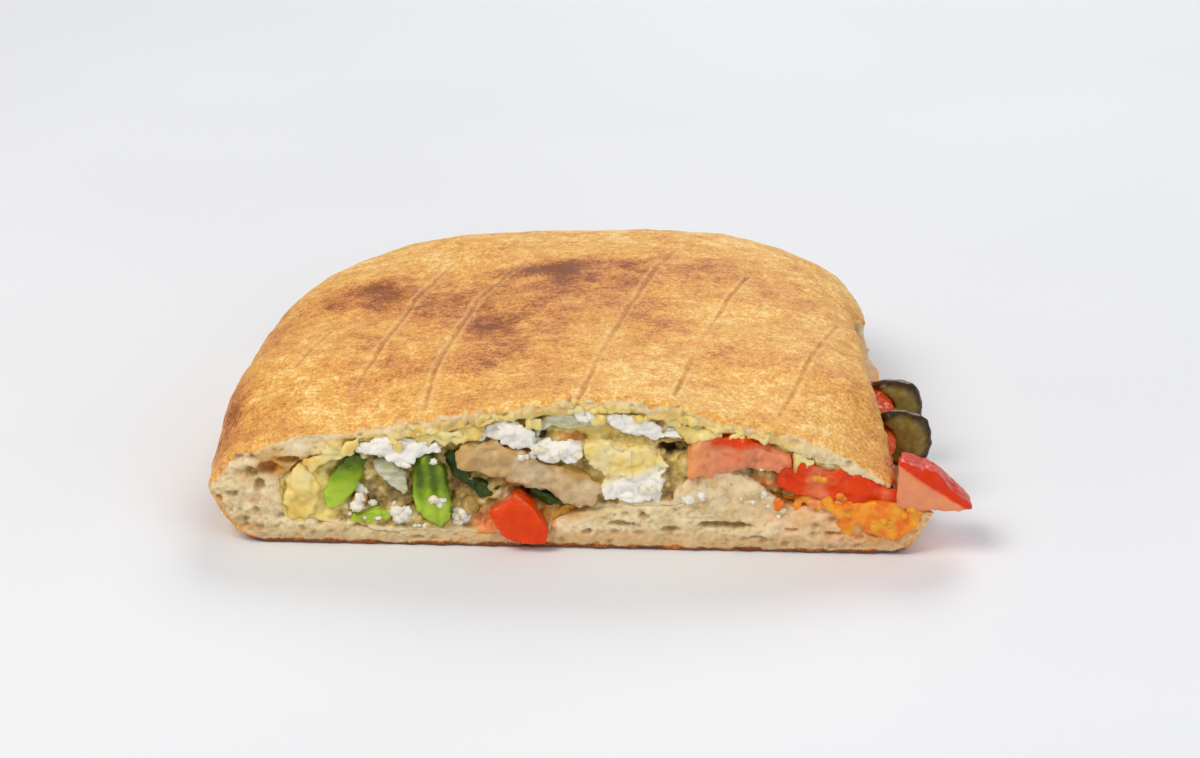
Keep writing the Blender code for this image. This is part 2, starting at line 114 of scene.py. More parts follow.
# Outlines of pieces on the cut, as x, z: the front and back of each as millimetres behind the cut.
CHUNKS = {
    "tomato_dice": [
        (-2.6, 6, [(-9.2, 13.2), (-14.8, 8.5), (-11.6, 3.2), (-8, 1.7), (-3, 1.9), (-2.4, 4.8),
            (-5.4, 10)]),
    ],
    "white_cheese_block": [
        (-0.8, 15, [(5, 23.4), (5.4, 18.8), (9, 16.6), (14.2, 16.4), (14.8, 22.4), (10, 23.8)]),
        (0.2, 14, [(14, 22.8), (13.6, 16.8), (17.5, 15.4), (20.6, 16.4), (22.4, 18.6), (20.6, 21.4),
            (17.4, 22.9)]),
        (-0.3, 15, [(8.6, 16.9), (7.6, 13.8), (9.2, 11.4), (13.6, 10.4), (18, 10.9), (20.4, 12.6),
            (21.4, 15.4), (19, 17.6), (14, 17)]),
    ],
    "white_cheese_strip": [
        (-0.9, 12, [(-42.8, 22.4), (-41, 20.8), (-38.6, 20.4), (-36.4, 19.4), (-34.6, 18.8),
            (-32.6, 17.4), (-30.8, 18.2), (-29.4, 19.8), (-27, 20.4), (-24.6, 21.4), (-25.6, 23.4),
            (-30, 23.6), (-36, 23.8)]),
    ],
    "white_cheese_slab": [
        (0, 12, [(9.2, 30.2), (9.8, 27.8), (13, 26.6), (16.5, 25.6), (19, 24.4), (21.5, 25.2),
            (24.8, 25.2), (23.5, 27.2), (18, 28.8), (13, 30)]),
        (0.4, 8, [(2.4, 30.4), (3.4, 28.6), (6.6, 28.2), (9, 29), (8.6, 30.8), (5, 31.4)]),
    ],
    "white_cheese_lump": [
        (-0.2, 8, [(-13.2, 26.4), (-12.4, 23), (-9, 21.6), (-5.8, 22.4), (-4.9, 25.4), (-7.5, 27.2),
            (-11, 27.4)]),
        (0.4, 6, [(-19, 25.4), (-18.6, 24), (-16, 23.4), (-14.9, 25), (-17, 26)]),
        (-0.6, 6, [(-6.6, 21.2), (-3, 19.2), (0.5, 19.4), (4.4, 20.2), (5, 22.8), (2, 24),
            (-2, 24.2), (-5.6, 23.2)]),
    ],
    "chicken_fillet": [
        (-0.1, 10, [(-15, 20.4), (-11, 22), (-5.3, 19.9), (0.8, 18.2), (5.4, 16.4), (8.3, 13.4),
            (7.4, 10.8), (3.4, 9.5), (0.4, 10), (-2.6, 12), (-7.9, 14), (-12.6, 15.6)]),
        (-1.1, 7, [(-21.8, 20.4), (-19.6, 22.8), (-15.2, 23.4), (-10.8, 22.6), (-8.6, 20),
            (-10, 17.6), (-13.6, 16.4), (-17.8, 16.8), (-20.4, 18.2)]),
    ],
    "tomato_slice": [
        (-0.8, 14, [(25.6, 20.4), (27.6, 23.6), (31.8, 25.6), (36, 25.6), (40.6, 23.8),
            (45.6, 22.8), (46.8, 20.6), (44.8, 19), (40, 18.4), (35, 17.6), (30, 17), (27, 17.8)]),
    ],
    "tomato_flesh": [
        (0.2, 14, [(44.4, 19.4), (48.6, 20.8), (54, 18.8), (60, 16.8), (66, 14.6), (69.6, 13.2),
            (69, 11.2), (63, 10.8), (56, 11.8), (49, 12.8), (44.8, 15)]),
    ],
    "soaked_crumb": [
        (0.1, 9, [(22.5, 11), (25, 14.6), (28.6, 17.2), (33, 18.2), (37.6, 17.4), (41, 14.6),
            (44.4, 11.8), (47, 9), (42, 7.4), (35, 7), (28, 7.6), (23.4, 8.6)]),
    ],
    "tomato_pulp": [
        (-0.7, 4, [(54, 10.6), (60, 11.6), (66, 12.2), (72, 12.2), (75.4, 9.8), (73.6, 6.6),
            (70.4, 3.8), (66, 3.6), (62.6, 4.8), (60.4, 7.4), (56.6, 8.4)]),
    ],
    "tomato_wedge": [
        (-1.2, 8, [(69.4, 21.4), (72.4, 20.4), (77, 17.6), (80.6, 14.8), (84.4, 11.4), (81.6, 11),
            (79, 11.8), (77, 10.6), (72, 10.4), (69.2, 11.2)]),
    ],
}

# What shows between the pieces at the cut, by colour: x, z, half width, half height, amount, and how
# many millimetres it lies back.
PACKED = {
    "melted": [
        (25, 18, 3.5, 4, 0.8, 0.6), (-2, 26.5, 4, 2.5, 0.6, 0.8), (-53, 9.5, 7.5, 8, 1, -0.6),
        (-47.5, 15.5, 3.5, 3.5, 0.5, 0.8), (6, 26, 7, 3.6, 0.8, 0.4), (13, 18, 9, 7, 0.8, -0.4),
    ],
    "golden": [
        (-57.5, 19.5, 5, 2.8, 0.9, 2.6), (-60.5, 12, 1.5, 3, 0.6, 0.8), (1.5, 7, 7, 2.6, 0.7, 0.6),
        (-12, 28.2, 4, 2, 0.9, 2.4), (3, 23.4, 2.2, 1.5, 0.8, 2), (45.5, 10.3, 5, 2, 0.8, 2),
    ],
    # Painted shade: near-black filling in the deep gaps between the pieces.
    "dark": [
        (-40, 10.5, 3.5, 4, 0.5, 0.8), (-34.5, 12, 2.5, 3.5, 0.5, 1),
        (-36.8, 18.4, 2.4, 2, 0.9, 2.6), (-42.5, 3, 2, 1.2, 0.5, 1), (-5, 12, 5.5, 3, 0.8, 2.6),
        (-4.4, 25.6, 1, 3.2, 0.8, 2.2), (23.2, 21.8, 4, 1.3, 1, 3.2),
        (29.4, 24.3, 1.6, 1.6, 0.9, 2.6),
    ],
    "orange": [
        (-15.5, 5, 3.6, 3.6, 0.75, 0), (41, 14.5, 6, 2.6, 0.6, 0.2), (56, 11, 9, 2.6, 0.9, -0.4),
        (67, 11, 6, 3, 1, -0.6),
    ],
    "white": [
        (-20.5, 6.5, 1.8, 2, 0.9, -0.8), (-33.5, 6, 1.6, 1.6, 0.8, -0.6), (0, 21.8, 5, 2.4, 1, -1),
    ],
    "crumb": [
        (31, 14.5, 8, 6, 0.9, -0.4),
    ],
}

# Marks on the crumb of the cut, by colour, some painted shade: x, z, half width, half height, amount.
STAINS = {
    "golden": [
        # Oily golden crumb in the hollows, and bands that darken the crumb just under the top crust.
        (-20, 27.2, 8, 1.5, 0.5), (0, 30.8, 8, 1.4, 0.45), (23, 29.8, 8, 1.5, 0.45),
        (43, 24.6, 8, 1.6, 0.4), (-54.6, 18, 4, 1.8, 0.8), (-59, 17.2, 4.5, 2.6, 1.1),
        (-40, 22.8, 8, 1.5, 0.5), (64.5, 6.2, 4, 3.2, 0.9), (33, 12, 8, 5, 0.35),
        (-60, 19, 4, 2.6, 0.8), (3, 7.5, 6, 1.2, 0.6),
    ],
    "orange": [
        (64, 5, 10, 3, 0.6), (50, 8, 9, 4, 0.4), (59, 9, 8, 3.2, 0.55), (69, 7.5, 5.5, 4.6, 0.85),
    ],
    "toasty": [
        # Toasted spots; the long band at x 15, z 2.4 is painted shade along the foot of the cut.
        (-60.4, 16.6, 2.2, 1.4, 0.7), (15, 2.4, 46, 1.5, 0.3), (-70, 6.4, 1.8, 0.9, 0.7),
        (-66.3, 3.6, 3.2, 0.9, 0.7), (-70.6, 9.4, 1.2, 1.3, 0.6), (-63.8, 9.4, 1.6, 1.1, 0.55),
        (-66, 14.5, 1.3, 0.8, 0.5), (24, 4.9, 3, 0.6, 0.4), (44, 9.8, 4, 1.2, 0.5),
    ],
}

# Hollows in the crumb of the cut: x, z, half width, half height, depth, in millimetres.
CRUMB_HOLLOWS = [
    (-60.4, 16.6, 2.4, 1.5, 2.8), (-56.4, 18.6, 2.4, 0.9, 2.2), (-62.6, 13, 1.2, 1.2, 1.6),
    (33.5, 5.9, 5.6, 0.8, 1.9), (12.5, 5.8, 2.6, 0.7, 1.4), (22.4, 4.6, 2.2, 0.6, 1.2),
    (-68.4, 11, 1.3, 0.8, 1.2), (-64.2, 15.6, 1.4, 1.3, 1.8), (-66.5, 5.2, 1.8, 0.7, 1),
    (47.5, 5.2, 1.6, 0.5, 1), (5.5, 4, 1.3, 0.5, 1), (-71, 9.8, 0.9, 0.7, 1),
    (-6, 2.2, 1.2, 0.4, 0.8), (27.6, 8.4, 1.5, 0.6, 1), (57, 4.6, 2.2, 0.5, 1),
    (40.5, 3.4, 1.6, 0.4, 0.8), (17.2, 7.6, 1.2, 0.6, 1), (-30, 1.8, 1.6, 0.4, 0.7),
]


# Colours and materials


def linear(colour):
    """A hex sRGB colour as the linear RGBA that a shader takes."""
    parts = [int(colour[i : i + 2], 16) / 255 for i in (1, 3, 5)]
    return [p / 12.92 if p <= 0.04045 else ((p + 0.055) / 1.055) ** 2.4 for p in parts] + [1.0]


def add_node(tree, kind, settings=None, links=None):
    """Adds a node with its properties, input values and colour stops, and the links into it."""
    node = tree.nodes.new(kind)
    for key, value in (settings or {}).items():
        if key == "stops":
            ramp = node.color_ramp
            while len(ramp.elements) < len(value):
                ramp.elements.new(0.5)
            for element, (place, colour) in zip(ramp.elements, value):
                element.position = place
                element.color = colour
        elif isinstance(key, str) and hasattr(node, key):
            setattr(node, key, value)
        else:
            node.inputs[key].default_value = value
    for key, socket in (links or {}).items():
        tree.links.new(socket, node.inputs[key])
    return node


def start_material(name, patterns, stored=(), **surface):
    """A new material with its shader set, and what it reads by name: its patterns, and the values
    stored on the mesh. A pattern is noise, given by its grain in millimetres, its detail and
    roughness, and how it is turned and stretched."""
    material = bpy.data.materials.new(name)
    material.use_nodes = True
    tree = material.node_tree
    for key, value in surface.items():
        tree.nodes["Principled BSDF"].inputs[key.replace("_", " ")].default_value = value
    place = add_node(tree, "ShaderNodeTexCoord").outputs["Object"]
    place = add_node(tree, "ShaderNodeMapping", {"Scale": (1 / MM,) * 3}, {"Vector": place}).outputs[0]
    read = {}
    for key in stored:
        read[key] = add_node(tree, "ShaderNodeAttribute", {"attribute_name": key}).outputs["Fac"]
    for key, (grain, detail, roughness, *stretch) in patterns.items():
        at = place
        if stretch:
            at = add_node(tree, "ShaderNodeMapping", stretch[0], {"Vector": place}).outputs[0]
        values = {"Scale": 1 / grain, "Detail": detail, "Roughness": roughness}
        read[key] = add_node(tree, "ShaderNodeTexNoise", values, {"Vector": at}).outputs["Fac"]
    return material, tree, read


def level_of(tree, read, weights, offset=0.0):
    """What a colour or a relief follows: patterns and stored values, each times its weight, added up."""
    total = None
    for key, weight in weights.items():
        values, links = {"operation": "MULTIPLY_ADD", 1: weight, 2: offset}, {0: read[key]}
        if total:
            links[2] = total
        total = add_node(tree, "ShaderNodeMath", values, links).outputs[0]
    return total


def painted(tree, read, stops, weights, offset=0.0, layers=()):
    """Colour that follows a level through its stops, with layers over it. A layer is its colour and
    the weights and offset of its cover."""
    level = level_of(tree, read, weights, offset)
    colour = add_node(tree, "ShaderNodeValToRGB", {"stops": stops}, {"Fac": level}).outputs[0]
    for tone, *cover in layers:
        links = {0: level_of(tree, read, *cover), 6: colour}
        colour = add_node(tree, "ShaderNodeMix", {"data_type": "RGBA", 7: tone}, links).outputs[2]
    return colour


def finish_material(material, colour, relief=None, strength=0.0, height=0.4):
    """Links the colour, and a relief of that height in millimetres, to the material's shader."""
    tree = material.node_tree
    shader = tree.nodes["Principled BSDF"]
    tree.links.new(colour, shader.inputs["Base Color"])
    if relief:
        values = {"Strength": strength, "Distance": height * MM}
        bump = add_node(tree, "ShaderNodeBump", values, {"Height": relief})
        tree.links.new(bump.outputs[0], shader.inputs["Normal"])
    return material


def toasted_flatbread(look):
    """Wheat flatbread pressed on a hot plate: dry, matt, golden with brown toast, and cream crumb."""
    # Patches of 14 mm, mottling of 4 mm, and the sandy grain of the flour in specks of 1.3 and 0.6 mm.
    material, tree, read = start_material(
        "Toasted flatbread",
        {"patch": (14, 4, 0.6), "mottle": (4, 5, 0.65), "grain": (1.3, 4, 0.75), "speck": (0.6, 2, 0.6)},
        ("toast", "ridge", "score", "depth", "pit", "melted", "golden", "orange", "toasty"),
        Roughness=0.58, IOR=1.4, Specular_IOR_Level=0.4, Subsurface_Weight=0.15,
        Subsurface_Scale=0.0018, Subsurface_Radius=(1.0, 0.6, 0.3),
    )
    crust = painted(
        tree, read,
        [
            (0.0, look.crust_light), (0.22, look.crust), (0.5, look.crust_deep), (0.75, look.toast),
            (1.0, look.scorch),
        ],
        {"toast": 0.95, "patch": 0.7, "mottle": 0.95, "grain": 1.15, "speck": 1.0}, -1.66,
        # Painted highlight on the ridges beside each score, and painted shade in its groove.
        [(look.crust_light, {"ridge": 0.3}), (look.toast, {"score": 0.6})],
    )
    crumb = painted(
        tree, read,
        [(0.36, look.crumb_deep), (0.5, look.crumb), (0.62, look.crumb_light)],
        {"mottle": 0.6, "grain": 0.4}, 0.0,
        [
            # Painted shade in the pores and at the foot of the cut, then what the crumb itself shows.
            (look.crumb_shadow, {"pit": 1.0}), (look.melted, {"melted": 0.75}),
            (look.golden, {"golden": 0.8}), (look.stain, {"orange": 0.85}),
            # Toasted spots, with a band of painted shade along the base.
            (look.crust_deep, {"toasty": 0.9}),
        ],
    )
    # Crust turns to crumb over 0.55 mm of depth, along an edge that the grain makes ragged.
    inside = level_of(tree, read, {"depth": 1 / 0.55, "grain": 2.0}, -1.2 / 0.55)
    colour = add_node(tree, "ShaderNodeMix", {"data_type": "RGBA"}, {0: inside, 6: crust, 7: crumb})
    # Blisters and specks.
    relief = level_of(tree, read, {"mottle": 0.8, "grain": 0.9, "speck": 0.5})
    return finish_material(material, colour.outputs[2], relief, 0.6)


def melted_cheese(look):
    """Mild yellow cheese that has melted and set again: smooth, oily and slightly see-through."""
    material, tree, read = start_material(
        "Melted cheese", {"cloud": (6, 4, 0.5), "fine": (1.6, 3, 0.5)}, ["golden"],
        Roughness=0.36, IOR=1.45, Subsurface_Weight=0.25, Subsurface_Scale=0.002,
        Subsurface_Radius=(1.0, 0.8, 0.35), Coat_Weight=0.15, Coat_Roughness=0.25,
    )
    colour = painted(
        tree, read, [(0.35, look.melted_deep), (0.5, look.melted), (0.66, look.melted_pale)],
        {"cloud": 1.0}, 0.0, [(look.golden, {"golden": 1.2, "cloud": 0.8}, -0.4)],
    )
    return finish_material(material, colour, read["fine"], 0.3)


def white_cheese(look):
    """Brined white cheese: chalky and crumbly, a little yellow where melted cheese has run over it."""
    material, tree, read = start_material(
        "Crumbled white cheese", {"cloud": (5, 4, 0.5), "curd": (0.7, 4, 0.65)}, ["tint"],
        Roughness=0.55, IOR=1.42, Subsurface_Weight=0.2, Subsurface_Scale=0.0015,
        Subsurface_Radius=(1.0, 0.9, 0.7),
    )
    stops = [(0.0, look.white), (1.0, look.melted)]
    colour = painted(tree, read, stops, {"cloud": 1.4, "tint": 1.0}, -0.55)
    return finish_material(material, colour, read["curd"], 0.6)


def crushed_filling(look):
    """Crushed cheese wet with vegetable juice: pale curds in an oily, olive-beige mass."""
    # The dark tone is painted shade in the deep gaps between the pieces.
    tones = {
        "crumb": look.crumb, "melted": look.melted, "orange": look.stain, "golden": look.golden,
        "white": look.white, "dark": look.gap,
    }
    material, tree, read = start_material(
        "Crushed cheese filling", {"cloud": (4, 4, 0.6), "curd": (1.0, 4, 0.6)}, ["lump", *tones],
        Roughness=0.38, IOR=1.42, Subsurface_Weight=0.3, Subsurface_Scale=0.003,
        Subsurface_Radius=(1.0, 0.8, 0.5), Coat_Weight=0.2, Coat_Roughness=0.15,
    )
    # Each tone ends along the curds, which break its edge.
    cover = {"curd": 5 / 6, "cloud": 2 / 3}
    colour = painted(
        tree, read,
        [(0.12, look.juice_shadow), (0.4, look.juice), (0.62, look.juice_pale), (0.82, look.white)],
        {"lump": 1.0, "cloud": 0.7, "curd": 0.3}, -0.6,
        [(tone, {key: 2.25, **cover}, -0.77 / 0.6) for key, tone in tones.items()],
    )
    return finish_material(material, colour, read["curd"], 0.5)


def cooked_chicken(look):
    """Sliced cooked chicken breast: moist grey-tan meat with long fibres, browned at one edge."""
    # The fibres run down along the slice, 1.6 mm apart: coarser than real ones, so that they show.
    along = {"Rotation": (0.0, 0.33, 0.0), "Scale": (0.7, 0.7, 1.0)}
    material, tree, read = start_material(
        "Cooked chicken breast", {"fibre": (1.6, 4, 0.6, along)}, ["tint"],
        Roughness=0.36, IOR=1.42, Specular_IOR_Level=0.4, Subsurface_Weight=0.45, Subsurface_Scale=0.004,
        Subsurface_Radius=(1.0, 0.6, 0.35), Coat_Weight=0.15, Coat_Roughness=0.1,
    )
    colour = painted(
        tree, read, [(0.28, look.meat_deep), (0.5, look.meat), (0.72, look.meat_pale)],
        {"fibre": 1.0}, 0.0, [(look.meat_seared, {"tint": 1.0})],
    )
    return finish_material(material, colour, read["fibre"], 0.25, 0.3)


def green_pepper(look):
    """Grilled green pepper: a waxy dark skin over wet, light green flesh with upright veins."""
    upright = {"Scale": (1.0, 0.6, 0.18)}
    material, tree, read = start_material(
        "Green pepper", {"cloud": (3, 3, 0.5), "vein": (1.4, 2, 0.5, upright)}, ["tint"],
        Roughness=0.32, IOR=1.4, Specular_IOR_Level=0.35, Subsurface_Weight=0.3, Subsurface_Scale=0.003,
        Subsurface_Radius=(0.5, 1.0, 0.2), Coat_Weight=0.15, Coat_Roughness=0.06,
    )
    stops = [
        (0.05, look.pepper_light), (0.4, look.pepper), (0.7, look.pepper_dark), (1.0, look.pepper_skin)
    ]
    colour = painted(tree, read, stops, {"cloud": 0.5, "tint": 1.0}, -0.25)
    return finish_material(material, colour, read["vein"], 0.45)


def cooked_onion(look):
    """Softened white onion: glassy, pale, with the fine lines of its layers."""
    tilted = {"Rotation": (0.0, 0.7, 0.0), "Scale": (0.2, 0.3, 1.0)}
    material, tree, read = start_material(
        "Cooked onion", {"line": (0.9, 2, 0.5, tilted)},
        Roughness=0.25, IOR=1.38, Subsurface_Weight=0.55, Subsurface_Scale=0.005,
        Subsurface_Radius=(1.0, 0.95, 0.6), Coat_Weight=0.4, Coat_Roughness=0.1,
    )
    colour = painted(tree, read, [(0.35, look.onion_deep), (0.6, look.onion)], {"line": 1.0})
    return finish_material(material, colour, read["line"], 0.3, 0.3)


def ripe_tomato(look):
    """Ripe tomato, cut and warmed: wet red flesh, paler towards its core, under a glossy skin."""
    material, tree, read = start_material(
        "Ripe tomato", {"vein": (3, 4, 0.6), "fine": (1.2, 3, 0.5)}, ["tint"],
        Roughness=0.32, IOR=1.36, Specular_IOR_Level=0.35, Subsurface_Weight=0.35,
        Subsurface_Scale=0.003, Subsurface_Radius=(1.0, 0.25, 0.05), Coat_Weight=0.1,
        Coat_Roughness=0.06,
    )
    stops = [
        (0.05, look.tomato_skin), (0.35, look.tomato), (0.75, look.tomato_pale), (1.0, look.tomato_core)
    ]
    colour = painted(tree, read, stops, {"vein": 0.8, "tint": 1.0}, -0.4)
    return finish_material(material, colour, read["fine"], 0.25)


def tomato_pulp(look):
    """Tomato jelly and seeds: wet and glassy, orange with yellow seeds."""
    material, tree, read = start_material(
        "Tomato pulp", {"cloud": (3.2, 3, 0.5)},
        Roughness=0.2, IOR=1.36, Specular_IOR_Level=0.35, Subsurface_Weight=0.3, Subsurface_Scale=0.002,
        Subsurface_Radius=(1.0, 0.45, 0.12), Coat_Weight=0.25, Coat_Roughness=0.06,
    )
    stops = [(0.38, look.pulp_red), (0.5, look.pulp), (0.62, look.pulp_yellow)]
    return finish_material(material, painted(tree, read, stops, {"cloud": 1.0}))


def pickled_cucumber(look):
    """Pickled cucumber: olive flesh with a darker, warty skin, wet with brine."""
    material, tree, read = start_material(
        "Pickled cucumber", {"wart": (1.2, 4, 0.6)}, ["tint"],
        Roughness=0.3, IOR=1.36, Specular_IOR_Level=0.35, Subsurface_Weight=0.45, Subsurface_Scale=0.004,
        Subsurface_Radius=(1.0, 0.9, 0.3), Coat_Weight=0.12, Coat_Roughness=0.12,
    )
    stops = [(0.2, look.pickle_light), (0.6, look.pickle), (1.0, look.pickle_deep)]
    colour = painted(tree, read, stops, {"tint": 0.7, "wart": 0.9}, -0.15)
    return finish_material(material, colour, read["wart"], 0.4)


# Shapes


def add_object(name, data):
    """A new object in the scene."""
    made = bpy.data.objects.new(name, data)
    bpy.context.scene.collection.objects.link(made)
    return made


def as_mesh(work, name):
    """Turns finished bmesh work into a new mesh."""
    mesh = bpy.data.meshes.new(name)
    work.to_mesh(mesh)
    work.free()
    return mesh


def node_mesh(node):
    """A copy of a CAD node's mesh, in metres in the part's frame."""
    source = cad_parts[node]
    mesh = source.data.copy()
    mesh.transform(source.matrix_world)
    return mesh


def remesh(mesh, voxel, rounds):
    """The same solid in even quads of voxel millimetres, with its corners softened."""
    holder = add_object("holder", mesh)
    modifier = holder.modifiers.new("Remesh", "REMESH")
    modifier.mode = "VOXEL"
    modifier.voxel_size = voxel * MM
    smoother = holder.modifiers.new("Smooth", "SMOOTH")
    smoother.factor = 0.5
    smoother.iterations = rounds
    bpy.context.view_layer.update()
    made = bpy.data.meshes.new_from_object(holder.evaluated_get(bpy.context.evaluated_depsgraph_get()))
    bpy.data.objects.remove(holder)
    made.materials.clear()
    return made


def refine(mesh, chosen):
    """Splits every edge whose two ends are chosen, by a mask of the mesh's points."""
    work = bmesh.new()
    work.from_mesh(mesh)
    keep = {vert for vert, wanted in zip(work.verts, chosen) if wanted}
    edges = [edge for edge in work.edges if edge.verts[0] in keep and edge.verts[1] in keep]
    bmesh.ops.subdivide_edges(work, edges=edges, cuts=1, use_grid_fill=True)
    work.to_mesh(mesh)
    work.free()


def points_of(mesh):
    """A mesh's points in millimetres and its normals."""
    places = np.empty(len(mesh.vertices) * 3)
    mesh.vertices.foreach_get("co", places)
    facing = np.empty(len(mesh.vertices) * 3)
    mesh.vertex_normals.foreach_get("vector", facing)
    return places.reshape(-1, 3) / MM, facing.reshape(-1, 3)


def store_points(mesh, places):
    """Moves a mesh's points to places in millimetres."""
    mesh.vertices.foreach_set("co", (places * MM).astype(np.float32).ravel())
    mesh.update()


def store_values(mesh, name, values):
    """Keeps a value at each point under this name, for the materials to read."""
    layer = mesh.attributes.new(name, "FLOAT", "POINT")
    layer.data.foreach_set("value", values.astype(np.float32))


def ripple(places, size, seed, octaves=3):
    """Smooth noise from -1 to 1 at each point. size is its grain in millimetres."""
    shift = Vector((seed * 17.3, seed * 5.9, seed * 11.1))
    return np.array([noise.fractal(Vector(p) / size + shift, 0.6, 2.1, octaves) for p in places])


def cells(places, size, seed):
    """Distance to the nearest point of a loose lattice of that size, about 0 to 1, at each point."""
    shift = Vector((seed * 13.7, seed * 7.9, seed * 3.3))
    return np.array([noise.voronoi(Vector(p) / size + shift)[0][0] for p in places])


def cracks(places, size, seed):
    """0 on the borders between loose cells of that size in millimetres, and more inside them."""
    shift = Vector((seed * 13.7, seed * 7.9, seed * 3.3))
    found = [noise.voronoi(Vector(p) / size + shift)[0] for p in places]
    return np.array([f[1] - f[0] for f in found])


def rise(low, high, values):
    """0 below low, 1 above high, and a smooth rise between them."""
    share = np.clip((values - low) / (high - low), 0, 1)
    return share * share * (3 - 2 * share)


def finish_piece(name, mesh, material, nodes):
    """Shows a mesh as a piece that stands for the CAD nodes and rides on the one body."""
    mesh.name = name
    mesh.materials.append(material)
    mesh.shade_smooth()
    piece = add_object(name, mesh)
    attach(piece, "root")
    if nodes:
        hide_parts(*nodes)
    return piece


def crust_tree(mesh):
    """The faces of the bread's outside alone, to measure how deep in the crumb a point lies."""
    points = [vert.co for vert in mesh.vertices]
    faces = [tuple(face.vertices) for face in mesh.polygons]
    whole = BVHTree.FromPolygons(points, faces)
    outside = []
    for face, corners in zip(mesh.polygons, faces):
        centre, normal = face.center, face.normal
        x, y, z = centre / MM
        # The cut face, the bottom bread's top at the slit and the pocket's floor are crumb.
        cut = normal.y < -0.9 and y < CUT_Y + 0.5
        shelf = normal.z > 0.5 and z < 15 and x > 45
        shelf = shelf or (normal.z > 0.2 and y < CUT_Y + 3 and -64 < x < 60 and 1.5 < z < 18.5)
        for way in (Vector((0, 0, 1)), Vector((0, 0, -1)), Vector((centre.x, centre.y, 0)).normalized()):
            open_air = whole.ray_cast(centre + (way + normal) * 0.2 * MM, way)[0] is None
            if normal.dot(way) > 0.15 and open_air and not cut and not shelf:
                outside.append(corners)
                break
    return BVHTree.FromPolygons(points, outside)


def zones_at(places, zones, seed):
    """How strongly zones of one colour cover each point, and how far they push it back, in millimetres."""
    x = places[:, 0] + 1.1 * ripple(places, 3.0, seed, 2)
    z = places[:, 2] + 0.8 * ripple(places, 3.0, seed + 1, 2)
    cover, push = np.zeros(len(places)), np.zeros(len(places))
    for x0, z0, wide, high, amount, *back in zones:
        here = amount * np.exp(-((((x - x0) / wide) ** 2 + ((z - z0) / high) ** 2) ** 1.6))
        push = np.where(here > cover, sum(back) * here / amount, push)
        cover = np.maximum(cover, here)
    return cover, push


def score_distance(places):
    """How far each point lies, in plan, from the nearest scored line."""
    found = np.full(len(places), np.inf)
    for line in SCORES:
        for start, end in zip(line, line[1:]):
            start, way = np.array(start), np.array(end) - np.array(start)
            share = np.clip((places[:, :2] - start) @ way / (way @ way), 0, 1)
            away = np.linalg.norm(places[:, :2] - start - share[:, None] * way, axis=1)
            found = np.minimum(found, away)
    return found


